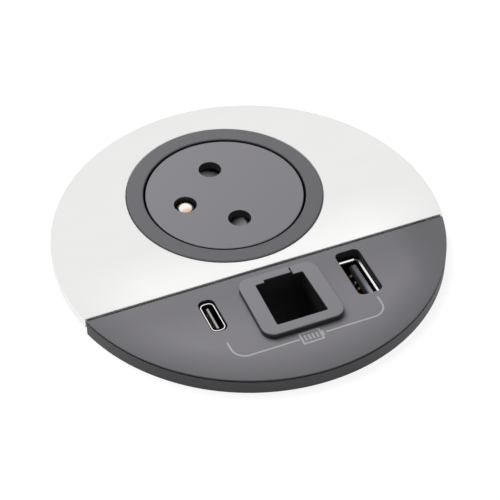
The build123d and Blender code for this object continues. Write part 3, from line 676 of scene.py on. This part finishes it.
def brushed_trim(settings):
    """Brushed metal with its marks along the chord, a painted highlight near it, edges painted paler partly
    as wear and partly as a painted highlight, and with duller cut sides.
    """
    colour = settings.trim
    material, tree, shader = new_material("brushed_trim", "Metallic", 1.0)
    sizes = {"Length": settings.streak_length / MM, "Width": settings.streak_width / MM}
    marks = place_group(tree, "brush_marks", sizes)
    plain = varied(tree, marks["Streak"], colour, vary=0.05)
    patches = multiply_add(tree, marks["Patch"], 0.3)
    plain = mix_colours(tree, patches, plain, tint(colour, 1.08))
    chord, top = low("top_plate").y, high("top_plate").z
    # Painted highlight: paler towards the chord and away from the rim, broken up by the brush patches.
    near_chord = place_ramp(tree, "Y", chord + 16, chord + 1)
    off_rim = place_ramp(tree, "AWAY", 46, 30)
    cloudy = multiply_add(tree, marks["Patch"], 1.0, 0.4)
    painted_highlight = product(tree, product(tree, near_chord, off_rim), cloudy)
    plain = mix_colours(tree, painted_highlight, plain, tint(colour, 1.16))
    plain, normal = pale_edges_wear_and_highlight(tree, plain, colour, softness=0.1, share=0.6, paler=1.18)
    streaked = around(tree, marks["Streak"], settings.trim_roughness, spread=0.08)
    cut_side = multiply_add(tree, place_ramp(tree, "Z", top - 0.02, top - 0.08), 0.2)
    roughness = calculate(tree, "ADD", streaked, cut_side)
    finish(tree, shader, plain, roughness, marks["Height"], 0.003, normal)
    return material


def earth_plating(settings):
    """Bright nickel on the earth pin, with a painted copper-coloured reflection near the tip on its front
    side.
    """
    material, tree, shader = new_material("earth_plating", "Metallic", 1.0)
    tip, axis_y = high("earth_pin").z, middle("earth_pin").y
    # Painted reflection: a copper tint near the tip on the front side, broken up by the scratch noise.
    pin_front_side = place_ramp(tree, "Y", axis_y - 0.4, axis_y - 1.5)
    near_tip = place_ramp(tree, "Z", tip - 5.0, tip - 1.5)
    scratch = noise(tree, own_place(tree), (0.3, 0.3, 1.2), 4.0)
    copper_reflection = product(tree, product(tree, pin_front_side, near_tip), multiply_add(tree, scratch, 1.6, 0.1))
    clean = varied(tree, scratch, settings.earth, vary=0.03)
    plain = mix_colours(tree, copper_reflection, clean, tint(settings.earth_copper_reflection, 1.0))
    finish(tree, shader, plain, around(tree, scratch, 0.295, spread=0.075), scratch, 0.002)
    return material


def printed_ink(settings):
    """Pad-printed ink, a little thinner in places."""
    material, tree, shader = new_material("printed_ink", "Specular IOR Level", 0.4)
    thin = noise(tree, own_place(tree), (0.35, 0.35, 0.35), 4.0)
    plain = mix_colours(tree, thin, tint(settings.ink, 0.86), tint(settings.ink, 1.1))
    finish(tree, shader, plain, around(tree, thin, 0.5, spread=0.1), thin, 0.004)
    return material


# Pieces

class TrimPlate(bpy.types.Operator):
    """Finish the brushed aluminium plate and the black cover in front of it"""

    bl_idname = "desk_socket.trim_plate"
    bl_label = "Trim plate and front cover"

    def execute(self, context):
        settings = context.scene.desk_socket_trim
        coat(brushed_trim(settings), "top_plate")
        # Painted light and shade on the cover: paler in front, darker at its right end and at its rim, and
        # painted shade down the walls of its openings.
        painted_light_in_front = ("Y", -17.0, -29.0, 1.26)
        painted_shade_at_right_end = ("X", 30.0, 46.0, 0.5)
        painted_shade_at_rim = ("AWAY", 38.5, 47.0, 0.78)
        cover = moulded(
            "cover_black", settings.cover, 0.54, mottle=12.0, edge_paling_wear_and_highlight=1.05, gloss=0.4,
            hollow_shade=hollow_shade_in("port_cover", 0.06, 0.3, 0.1),
            painted_fades=(painted_light_in_front, painted_shade_at_right_end, painted_shade_at_rim),
        )
        coat(cover, "port_cover")
        # Painted shade down the walls of the module opening; the frame's edges are painted paler, partly as
        # wear and mostly as a painted highlight.
        walls = hollow_shade_in("module_frame", 0.1, 0.4, 0.1)
        bezel = moulded("bezel_black", settings.bezel, 0.48, mottle=7.0, edge_paling_wear_and_highlight=1.7, hollow_shade=walls)
        coat(bezel, "module_frame")
        return {"FINISHED"}


class PrintedMark(bpy.types.Operator):
    """Print the pale line that joins the two ports, with the battery in its middle"""

    bl_idname = "desk_socket.printed_mark"
    bl_label = "Printed line and battery"

    def execute(self, context):
        settings = context.scene.desk_socket_print
        ink = printed_ink(settings)
        surface = high("port_cover").z
        bottom, top = surface - 0.02, surface + settings.ink_height / MM
        stroke = settings.stroke / MM
        line_y = -settings.line_y / MM
        left_line = self.line(settings, side=-1, port_x=-18.55, battery_x=-2.95)
        right_line = self.line(settings, side=1, port_x=19.35, battery_x=3.7)
        for name, line in (("print_left", left_line), ("print_right", right_line)):
            bm = bmesh.new()
            add_stroke(bm, line, stroke, bottom, top)
            add_to_base(name, bm, ink)
        bm = bmesh.new()
        self.add_battery(bm, settings.bars, line_y, stroke, bottom, top)
        add_to_base("battery_mark", bm, ink)
        return {"FINISHED"}

    @staticmethod
    def line(settings, side, port_x, battery_x):
        """From beside a port, round a bend and in towards the battery."""
        start_y, line_y = -31.1, -settings.line_y / MM
        bend = settings.bend / MM
        hub_x, hub_y = port_x - side * bend, line_y + bend
        turns = [pi / 2 * step / 10 for step in range(11)]
        corner = [(hub_x + side * bend * cos(turn), hub_y - bend * sin(turn)) for turn in turns]
        return [(port_x, start_y)] + corner + [(battery_x, line_y)]

    @staticmethod
    def add_battery(bm, bars, line_y, stroke, bottom, top):
        """A case with a cap at its right end and upright bars inside."""
        left, right, half_case = -2.45, 2.4, 1.6
        cap_x, half_cap, cap_width = right + 0.45, 0.75, 0.5
        half_bar, bar_width = 0.85, 0.38
        case = [(left, half_case), (left, -half_case), (right, -half_case), (right, half_case)]
        case = [(x, line_y + y) for x, y in case]
        add_stroke(bm, case, stroke, bottom, top, closed=True)
        add_stroke(bm, [(cap_x, line_y + half_cap), (cap_x, line_y - half_cap)], cap_width, bottom, top)
        pitch = (right - left) / (bars + 1)
        for bar in range(bars):
            x = left + pitch * (bar + 1)
            add_stroke(bm, [(x, line_y + half_bar), (x, line_y - half_bar)], bar_width, bottom, top)


class MainsSocket(bpy.types.Operator):
    """Finish the socket's ring, its sprung face and the safety shutter under it"""

    bl_idname = "desk_socket.mains_socket"
    bl_label = "Mains socket"

    def execute(self, context):
        settings = context.scene.desk_socket_mains
        steel = context.scene.desk_socket_body.steel
        # Painted shade down the walls of the openings in the ring and in the face.
        walls = hollow_shade_in("socket_ring", 0.3, 0.4, 0.1)
        coat(moulded("ring_black", settings.ring, 0.55, mottle=6.0, hollow_shade=walls), "socket_ring")
        walls = hollow_shade_in("socket_face", 0.06, 0.25, 0.12)
        coat(moulded("face_black", settings.face, 0.46, mottle=14.0, hollow_shade=walls), "socket_face")
        coat(moulded("shutter_grey", settings.shutter, 0.40, mottle=3.0), "safety_shutter")
        coat(moulded("retainer_black", settings.ring, 0.55), "shutter_retainer")
        coat(plated("retainer_screw_zinc", steel, 0.35), "retainer_screws")
        coat(plated("shutter_spring_steel", steel, 0.28), "shutter_spring")
        coat(earth_plating(settings), "earth_pin")
        return {"FINISHED"}


class FaceSpring(bpy.types.Operator):
    """Wind the return spring, with closed ends, so that it shortens as the face goes down"""

    bl_idname = "desk_socket.face_spring"
    bl_label = "Return spring"

    # Wind the return spring, with closed ends, in place of its node
    def execute(self, context):
        settings = context.scene.desk_socket_mains
        wire = settings.wire_radius / MM
        floor, ceiling = low("face_spring").z, high("face_spring").z
        radius = (high("face_spring").x - low("face_spring").x) / 2 - wire
        path = self.path(settings, middle("socket_face"), radius, floor + wire, ceiling - wire)
        bm = bmesh.new()
        add_sweep(bm, wire_sections(path, wire))
        steel = plated("spring_steel", context.scene.desk_socket_body.steel, 0.25, cloud=6.0)
        spring = add_to_base("face_spring_wire", bm, steel, ["face_spring"])
        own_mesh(spring)
        return {"FINISHED"}

    @staticmethod
    def path(settings, centre, radius, bottom, top):
        """A coil whose end turns lie close and whose middle turns share the rest of the height."""
        turns, closed = settings.spring_turns, settings.spring_end_turns
        steps_per_turn, radii_per_close_turn = 40, 2.3
        close_pitch = radii_per_close_turn * settings.wire_radius / MM
        open_pitch = (top - bottom - 2 * closed * close_pitch) / (turns - 2 * closed)
        steps = round(turns * steps_per_turn)
        points = []
        for step in range(steps + 1):
            turn = turns * step / steps
            start = min(turn, closed)
            end = max(turn - (turns - closed), 0)
            level = bottom + (start + end) * close_pitch + (turn - start - end) * open_pitch
            angle = 2 * pi * turn
            points.append(Vector((centre.x + radius * cos(angle), centre.y + radius * sin(angle), level)))
        return points


class Contacts(bpy.types.Operator):
    """Finish the contact block, its two sleeves and the earth terminal"""

    bl_idname = "desk_socket.contacts"
    bl_label = "Contacts"

    def execute(self, context):
        settings = context.scene.desk_socket_inside
        steel = context.scene.desk_socket_body.steel
        coat(moulded("block_grey", settings.block, 0.5), "contact_block")
        coat(plated("contact_brass", settings.brass, 0.3), "live_contact", "neutral_contact")
        coat(plated("terminal_tin", settings.tin, 0.35), "earth_terminal")
        coat(plated("nut_zinc", steel, 0.35), "earth_nut", "block_screws")
        return {"FINISHED"}


class UsbPorts(bpy.types.Operator):
    """Form the rolled shells of both ports, the bowed USB-A contacts and the USB-C pads"""

    bl_idname = "desk_socket.usb_ports"
    bl_label = "USB ports"

    usb_a_wall = 0.3
    tab_steepness = 0.6

    def execute(self, context):
        settings = context.scene.desk_socket_ports
        gold = plated("contact_gold", settings.contact, 0.42, cloud=0.8)
        flare = settings.flare / MM
        tab_height = self.tab_steepness * (flare + self.usb_a_wall)
        self.make_shell(settings, "usb_c", corner=1.3, wall=0.25, drop=0.0)
        steel = self.make_shell(settings, "usb_a", corner=0.6, wall=self.usb_a_wall, drop=tab_height)
        self.make_flares(flare, tab_height, steel)
        # Painted light and shade on the tongues: paler towards the front, darker down the sides and below
        # the tip.
        side_shade_share = 0.2
        blade = middle("usb_c_tongue").x
        sides = [("X", blade + side * 0.12, blade + side * 0.3, side_shade_share) for side in (-1, 1)]
        self.coat_tongue("usb_c", settings.usb_c_tongue, painted_front_light=1.2, sides=sides)
        blade = high("usb_a_contacts").x
        sides = [("X", blade + 1.2, blade + 0.5, side_shade_share)]
        self.coat_tongue("usb_a", settings.usb_a_tongue, painted_front_light=3.2, sides=sides)
        coat(moulded("spacer_black", settings.spacer, 0.5), "usb_c_spacer")
        self.make_bowed_contacts(settings, gold)
        self.make_pads(settings, gold)
        return {"FINISHED"}

    @staticmethod
    def make_shell(settings, port, corner, wall, drop):
        """A drawn sheet sleeve in place of its node, which ends a drop lower where tabs stand on it."""
        first, last = low(port + "_shell"), high(port + "_shell")
        top = last.z - drop
        # Painted shade down the inside walls of the shell, below its lip.
        steel = plated(
            port + "_steel", settings.shell, 0.26, cloud=3.0, depth=0.0004, softness=0.015,
            hollow_shade=(top - 0.1, 0.5, 0.08),
        )
        bm = bmesh.new()
        outline = rounded(last.x - first.x, last.y - first.y, corner, middle(port + "_shell"))
        add_sleeve(bm, outline, wall, first.z, top, settings.lip / MM)
        add_to_base(port + "_sleeve", bm, steel, [port + "_shell"])
        return steel

    @staticmethod
    def coat_tongue(port, colour, painted_front_light, sides):
        """A tongue with painted light that makes it paler towards the front, and painted shade that makes it
        darker down its sides.
        """
        tip = high(port + "_tongue").z
        front, middle_y = low(port + "_tongue").y, middle(port + "_tongue").y
        painted_fades = (("Y", middle_y, front, painted_front_light), *sides, ("Z", tip - 0.06, tip - 0.31, 0.06))
        tongue = moulded(port + "_tongue_grey", colour, 0.42, grain=0.15, mottle=2.0, painted_fades=painted_fades)
        coat(tongue, port + "_tongue")

    def tab_section(self, lean, foot, top):
        """A tab's outline across the wall, as steps in from the wall's outside and levels."""
        clear = 0.01
        bend = top - self.tab_steepness * (lean + self.usb_a_wall)
        tip_inside, tip_thickness = 0.05 - lean, 0.08
        inside = self.usb_a_wall - clear
        return (
            (inside, foot), (inside, bend), (tip_inside, top), (-lean, top), (-lean, top - tip_thickness),
            (clear, bend), (clear, foot),
        )

    def make_flares(self, flare, drop, material):
        """Four tabs that lean out round the USB-A mouth and guide a plug in, clear of the corners."""
        bottom, top, centre = low("usb_a_shell"), high("usb_a_shell"), middle("usb_a_shell")
        corner = 0.9
        foot = top.z - drop - 0.2
        long_side = self.tab_section(flare, foot, top.z)
        short_side = self.tab_section(flare / 3, foot, top.z)
        bm = bmesh.new()
        for side in (-1, 1):
            edge = centre.x + side * (top.x - bottom.x) / 2
            ends = (bottom.y + corner, top.y - corner)
            add_sweep(bm, [[Vector((edge - side * step, y, z)) for step, z in long_side] for y in ends])
            edge = centre.y + side * (top.y - bottom.y) / 2
            ends = (bottom.x + corner, top.x - corner)
            add_sweep(bm, [[Vector((x, edge - side * step, z)) for step, z in short_side] for x in ends])
        add_to_base("usb_a_flares", bm, material)

    @staticmethod
    def make_bowed_contacts(settings, material):
        """Four strips that lie on the tongue, bow out near its tip and come back to it."""
        bottom, top, centre = low("usb_a_contacts"), high("usb_a_contacts"), middle("usb_a_contacts")
        half_strip, half_width = 0.1, 0.5
        taper_start, taper = 0.7, 0.18
        # Shares of the bow and of the height
        line = (
            (0.0, 0.0), (0.02, 0.25), (0.10, 0.45), (0.45, 0.62), (0.85, 0.74), (1.0, 0.81),
            (0.95, 0.87), (0.60, 0.93), (0.20, 0.98), (0.05, 1.0),
        )
        bm = bmesh.new()
        for offset in (-3.5, -1.0, 1.0, 3.5):
            y = centre.y + offset
            sections = []
            for out, up in line:
                x = top.x - half_strip - settings.contact_bow / MM * out
                z = bottom.z + (top.z - bottom.z) * up
                half = half_width - taper * max(up - taper_start, 0) / (1 - taper_start)
                back, front = x - half_strip, x + half_strip
                corners = ((back, y - half), (back, y + half), (front, y + half), (front, y - half))
                sections.append([Vector((*corner, z)) for corner in corners])
            add_sweep(bm, sections)
        add_to_base("usb_a_springs", bm, material, ["usb_a_contacts"])

    @staticmethod
    def make_pads(settings, material):
        """A row of pads on each side of the USB-C tongue, every second one a little shorter."""
        top, centre = high("usb_c_tongue").z, middle("usb_c_tongue")
        half_blade = 0.35
        thickness, edge, width_share = 0.08, 0.03, 0.55
        foot, tip, stagger = top - 4.6, top - 1.1, 0.25
        pitch = settings.pad_pitch / MM
        bm = bmesh.new()
        for side in (-1, 1):
            for number in range(settings.pads):
                x = centre.x + side * half_blade
                y = centre.y + (number - (settings.pads - 1) / 2) * pitch
                outline = rounded(thickness, pitch * width_share, edge, (x, y), steps=2)
                add_slab(bm, outline, foot, tip - stagger * (number % 2), edge)
        add_to_base("usb_c_pads", bm, material)


class Housing(bpy.types.Operator):
    """Finish the body below the desk, and form its thread, its base screws and the ribs in its seam"""

    bl_idname = "desk_socket.housing"
    bl_label = "Housing"

    def execute(self, context):
        settings = context.scene.desk_socket_body
        colour = context.scene.desk_socket_trim.body
        body = moulded("body_black", colour, 0.5, grain=0.4, depth=0.006, mottle=10.0, vary=0.1)
        coat(body, "housing", "deck_plate", "bottom_cover")
        coat(moulded("gasket_rubber", settings.gasket, 0.75, grain=0.5), "flange_gasket")
        self.make_seam_ribs(body)
        self.make_thread(settings, body)
        steel = plated("screw_steel", settings.steel, 0.35)
        coat(steel, "plate_screws", "cover_screws")
        self.make_base_screws(steel)
        return {"FINISHED"}

    @staticmethod
    def make_seam_ribs(material):
        """Two ribs that close the ends of the seam between the plate and the cover, outside the deck."""
        plate_gap, cover_gap, deck_gap, rim_gap = 0.06, 0.02, 0.3, 0.2
        foot, below_cover, edge = 0.3, 0.2, 0.1
        back, front = low("top_plate").y - plate_gap, high("port_cover").y + cover_gap
        inner = sqrt(high("deck_plate").x ** 2 - back ** 2) + deck_gap
        outer = sqrt((high("top_plate").x - rim_gap) ** 2 - front ** 2)
        bm = bmesh.new()
        for side in (-1, 1):
            centre = (side * (inner + outer) / 2, (back + front) / 2)
            outline = rounded(outer - inner, back - front, edge, centre, steps=2)
            add_slab(bm, outline, foot, high("port_cover").z - below_cover, edge)
        add_to_base("seam_ribs", bm, material)

    @staticmethod
    def make_thread(settings, material):
        """The coarse thread, half a turn of ridge at a time between the two key slots."""
        root, half_root, half_crest = 38.6, 1.0, 0.4
        crest = settings.thread_crest / MM
        pitch = settings.thread_pitch / MM
        start, end = low("housing").z + 1.2, -6.8
        steps, run_in, first_rise = 40, 3, 0.15
        bm = bmesh.new()
        for half in range(int((end - start) / (pitch / 2))):
            first = half * pi + settings.thread_gap
            last = (half + 1) * pi - settings.thread_gap
            sections = []
            for step in range(steps + 1):
                angle = first + (last - first) * step / steps
                level = start + pitch * angle / (2 * pi)
                rise = first_rise + (1 - first_rise) * min(step, steps - step, run_in) / run_in
                top = root + (crest - root) * rise
                corners = ((root, -half_root), (top, -half_crest), (top, half_crest), (root, half_root))
                sections.append([Vector((r * cos(angle), r * sin(angle), level + up)) for r, up in corners])
            add_sweep(bm, sections)
        add_to_base("barrel_thread", bm, material)

    @staticmethod
    def make_base_screws(material):
        """Pan head screws with a cross recess, driven up into the four base bosses."""
        boss_angles = [radians(angle) for angle in (45, 135, 222, 318)]
        bottom, tip = low("bottom_screws").z, high("bottom_screws").z
        head_radius, head_height, shank, point = 2.4, 1.4, 1.25, 1.2
        arm, half, recess_depth, recess_taper = 1.19, 0.30, 1.0, 0.47
        ring = (high("bottom_screws").x - head_radius) / max(cos(angle) for angle in boss_angles)
        profile = [
            (head_radius * 0.72, bottom), (head_radius * 0.92, bottom + 0.2),
            (head_radius, bottom + 0.55), (head_radius, bottom + head_height),
            (shank, bottom + head_height), (shank, tip - point), (0, tip),
        ]
        cross = [
            (arm, -half), (arm, half), (half, half), (half, arm), (-half, arm), (-half, half),
            (-arm, half), (-arm, -half), (-half, -half), (-half, -arm), (half, -arm), (half, -half),
        ]
        bm = bmesh.new()
        for angle in boss_angles:
            axis_x, axis_y = ring * cos(angle), ring * sin(angle)
            rim = add_turned(bm, profile, (axis_x, axis_y))[0]
            mouth, foot = [
                add_ring(bm, [(axis_x + x * size, axis_y + y * size) for x, y in cross], bottom + depth)
                for size, depth in ((1.0, 0.0), (recess_taper, recess_depth))
            ]
            bridge(bm, mouth, foot)
            fill(bm, [foot])
            fill(bm, [rim, mouth])
        add_to_base("base_cross_screws", bm, material, ["bottom_screws"])


class Clamp(bpy.types.Operator):
    """Finish the clamp washer and the locking ring"""

    bl_idname = "desk_socket.clamp"
    bl_label = "Clamp"

    def execute(self, context):
        settings = context.scene.desk_socket_body
        colour = context.scene.desk_socket_trim.body
        coat(plated("washer_steel", settings.zinc, 0.38, cloud=5.0, vary=0.12), "clamp_washer")
        ring = moulded("clamp_black", colour, 0.45, grain=0.4, depth=0.006, mottle=8.0, vary=0.1)
        coat(ring, "locking_ring")
        return {"FINISHED"}


class Supply(bpy.types.Operator):
    """Finish the mains inlet in the base, and the wires from it to the contacts"""

    bl_idname = "desk_socket.supply"
    bl_label = "Inlet and wires"

    def execute(self, context):
        settings = context.scene.desk_socket_inside
        coat(moulded("inlet_white", settings.inlet, 0.4), "inlet_shell")
        coat(plated("pin_nickel", settings.nickel, 0.25), "inlet_pins")
        for role in ("live", "neutral", "earth"):
            wire = role + "_wire"
            coat(moulded(wire + "_sheath", getattr(settings, role), 0.4, grain=0.5, mottle=3.0), wire)
        return {"FINISHED"}


class Charger(bpy.types.Operator):
    """Finish the charger board and the parts on it"""

    bl_idname = "desk_socket.charger"
    bl_label = "Charger"

    def execute(self, context):
        settings = context.scene.desk_socket_inside
        steel = context.scene.desk_socket_body.steel
        coat(moulded("board_green", settings.board, 0.35, grain=0.6, mottle=4.0, vary=0.15), "charger_board")
        coat(moulded("ferrite_black", settings.ferrite, 0.6), "charger_transformer", "charger_inductor")
        coat(moulded("can_blue", settings.can, 0.3), "charger_capacitors")
        coat(plated("board_screw_zinc", steel, 0.35), "board_screws")
        return {"FINISHED"}


class Studio(bpy.types.Operator):
    """Set the round desk panel, the floor, the lamps, the sky and the camera"""

    bl_idname = "desk_socket.studio"
    bl_label = "Studio"

    def execute(self, context):
        settings = context.scene.desk_socket_studio
        self.make_panel(settings)
        self.make_floor()
        self.make_lamps(settings)
        self.make_sky(context, settings)
        self.make_camera(context, settings)
        context.scene.view_settings.view_transform = "Standard"
        return {"FINISHED"}

    @staticmethod
    def choose_by_ray(tree, unseen, seen, output):
        """Shows one shader to the camera, in reflections and through glass, and lights with the other."""
        path = add_node(tree, "ShaderNodeLightPath").outputs
        shown = calculate(tree, "MAXIMUM", path["Is Camera Ray"], path["Is Glossy Ray"])
        shown = calculate(tree, "MAXIMUM", shown, path["Is Transmission Ray"])
        shaders = {"Fac": shown, 1: unseen.outputs[0], 2: seen.outputs[0]}
        chosen = add_node(tree, "ShaderNodeMixShader", shaders).outputs[0]
        add_node(tree, output, {"Surface": chosen})

    def paper(self, name, shade, bounce, lift):
        """Plain matt board: white to the camera and in reflections, and dull in the light it sheds."""
        material = bpy.data.materials.new(name)
        material.use_nodes = True
        tree = material.node_tree
        tree.nodes.clear()
        fibre = noise(tree, own_place(tree), (2.0, 2.0, 2.0), 3.0)
        pale = varied(tree, fibre, (shade, shade, shade), vary=0.01)
        matt = add_node(tree, "ShaderNodeBsdfDiffuse", {"Color": pale}).outputs[0]
        glow = add_node(tree, "ShaderNodeEmission", {"Strength": lift}).outputs[0]
        bright = add_node(tree, "ShaderNodeAddShader", {0: matt, 1: glow})
        dull = add_node(tree, "ShaderNodeBsdfDiffuse", {"Color": (bounce, bounce, bounce, 1.0)})
        self.choose_by_ray(tree, dull, bright, "ShaderNodeOutputMaterial")
        return material

    def make_panel(self, settings):
        """A round desk panel with the hole that the unit drops into."""
        shift = settings.panel_shift / MM
        thickness = settings.panel_thickness / MM
        centre = (shift * sin(settings.azimuth), -shift * cos(settings.azimuth))
        outer = circle(settings.panel_radius / MM, centre, 144)
        hole = circle(CUTOUT_RADIUS, (0.0, 0.0), 144)
        edge = 0.3
        bm = bmesh.new()
        outside = add_walls(bm, outer, [(edge, -thickness), (0, edge - thickness), (0, -edge), (edge, 0)])
        inside = add_walls(bm, hole, [(0, -thickness), (0, 0)])
        fill(bm, [outside[0], inside[0]])
        fill(bm, [outside[-1], inside[-1]])
        panel = make_piece("desk_panel", bm)
        panel.data.materials.append(self.paper("panel_paper", shade=0.25, bounce=0.25, lift=0.88))
        panel.data.materials.append(self.paper("panel_edge_band", shade=0.50, bounce=0.25, lift=0.06))
        for face in panel.data.polygons:
            face.material_index = 0 if face.normal.z > 0.9 else 1

    def make_floor(self):
        """A wide flat floor under the unit."""
        radius, thickness, edge = 1600.0, 10.0, 4.0
        level = low("bottom_cover").z
        bm = bmesh.new()
        add_slab(bm, circle(radius, (0.0, 0.0), 128), level - thickness, level, edge)
        floor = make_piece("studio_floor", bm)
        floor.data.materials.append(self.paper("floor_paper", shade=0.30, bounce=0.55, lift=0.88))

    @staticmethod
    def make_lamp(name, place, aim, size, power):
        """A lamp that is seen neither by the camera nor in reflections."""
        light = bpy.data.lights.new(name, "AREA")
        light.shape = "RECTANGLE"
        light.size, light.size_y = size
        light.energy = power
        lamp = bpy.data.objects.new(name, light)
        bpy.context.scene.collection.objects.link(lamp)
        turn = (Vector(aim) - Vector(place)).to_track_quat("-Z", "Y").to_matrix().to_4x4()
        lamp.matrix_world = Matrix.Translation(place) @ turn
        lamp.visible_camera = False
        lamp.visible_glossy = False

    def make_lamps(self, settings):
        """A soft lamp overhead and behind, and low strips that light the body under the panel."""
        key_place, key_size = (-0.045, 0.09, 0.21), (0.2, 0.2)
        self.make_lamp("key_softbox", key_place, (0, 0, 0), key_size, settings.key_power)
        strips, reach, level, strip_size = 4, 0.15, -0.027, (0.3, 0.024)
        for number in range(strips):
            angle = 2 * pi * number / strips
            place = (reach * cos(angle), reach * sin(angle), level)
            self.make_lamp(f"strip_{number}", place, (0, 0, level), strip_size, settings.strip_power)

    def make_sky(self, context, settings):
        """White where it is seen, and a weak even light on matt surfaces."""
        world = bpy.data.worlds.new("sky")
        context.scene.world = world
        world.use_nodes = True
        tree = world.node_tree
        tree.nodes.clear()
        white = add_node(tree, "ShaderNodeBackground", {"Color": (1, 1, 1, 1), "Strength": 1.0})
        weak = add_node(tree, "ShaderNodeBackground", {"Color": (1, 1, 1, 1), "Strength": settings.sky})
        self.choose_by_ray(tree, weak, white, "ShaderNodeOutputWorld")

    @staticmethod
    def make_camera(context, settings):
        """The camera of the photograph, found from the disc's outline and the chord."""
        azimuth, elevation, roll = settings.azimuth, settings.elevation, settings.roll
        back = Vector((sin(azimuth) * cos(elevation), -cos(azimuth) * cos(elevation), sin(elevation)))
        right = Vector((cos(azimuth), sin(azimuth), 0))
        up = back.cross(right)
        top = Vector((0, 0, high("top_plate").z * MM))
        place = top + back * settings.distance + right * settings.aim_right + up * settings.aim_up
        rolled_right = right * cos(roll) + up * sin(roll)
        rolled_up = up * cos(roll) - right * sin(roll)
        camera_data = bpy.data.cameras.new("camera")
        camera_data.lens = settings.lens
        camera_data.sensor_width = 36.0
        camera_data.clip_start = 0.01
        camera_data.clip_end = 20.0
        camera = bpy.data.objects.new("camera", camera_data)
        context.scene.collection.objects.link(camera)
        axes = Matrix((rolled_right, rolled_up, back)).transposed().to_4x4()
        camera.matrix_world = Matrix.Translation(place) @ axes
        context.scene.camera = camera


STEPS = (
    TrimPlate, PrintedMark, MainsSocket, FaceSpring, Contacts, UsbPorts, Housing, Clamp, Supply, Charger,
    Studio,
)


class DeskSocketPanel(bpy.types.Panel):
    """Lists the steps in the order that they are run, under the settings that they read"""

    bl_idname = "VIEW3D_PT_desk_socket"
    bl_label = "Desk socket"
    bl_space_type = "VIEW_3D"
    bl_region_type = "UI"
    bl_category = "Desk socket"

    def draw(self, context):
        for name, group in SETTINGS.items():
            box = self.layout.box()
            box.label(text=group.__doc__.rstrip("."))
            for setting in group.__annotations__:
                box.prop(getattr(context.scene, name), setting)
        for step in STEPS:
            self.layout.operator(step.bl_idname)


CLASSES = (*SETTINGS.values(), *STEPS, DeskSocketPanel)


def register():
    for item in CLASSES:
        bpy.utils.register_class(item)
    for name, group in SETTINGS.items():
        setattr(bpy.types.Scene, name, PointerProperty(type=group))


def unregister():
    for name in SETTINGS:
        delattr(bpy.types.Scene, name)
    for item in reversed(CLASSES):
        bpy.utils.unregister_class(item)


def main():
    register()
    bpy.ops.desk_socket.trim_plate()
    bpy.ops.desk_socket.printed_mark()
    bpy.ops.desk_socket.mains_socket()
    bpy.ops.desk_socket.face_spring()
    bpy.ops.desk_socket.contacts()
    bpy.ops.desk_socket.usb_ports()
    bpy.ops.desk_socket.housing()
    bpy.ops.desk_socket.clamp()
    bpy.ops.desk_socket.supply()
    bpy.ops.desk_socket.charger()
    bpy.ops.desk_socket.studio()


if __name__ == "__main__":
    main()
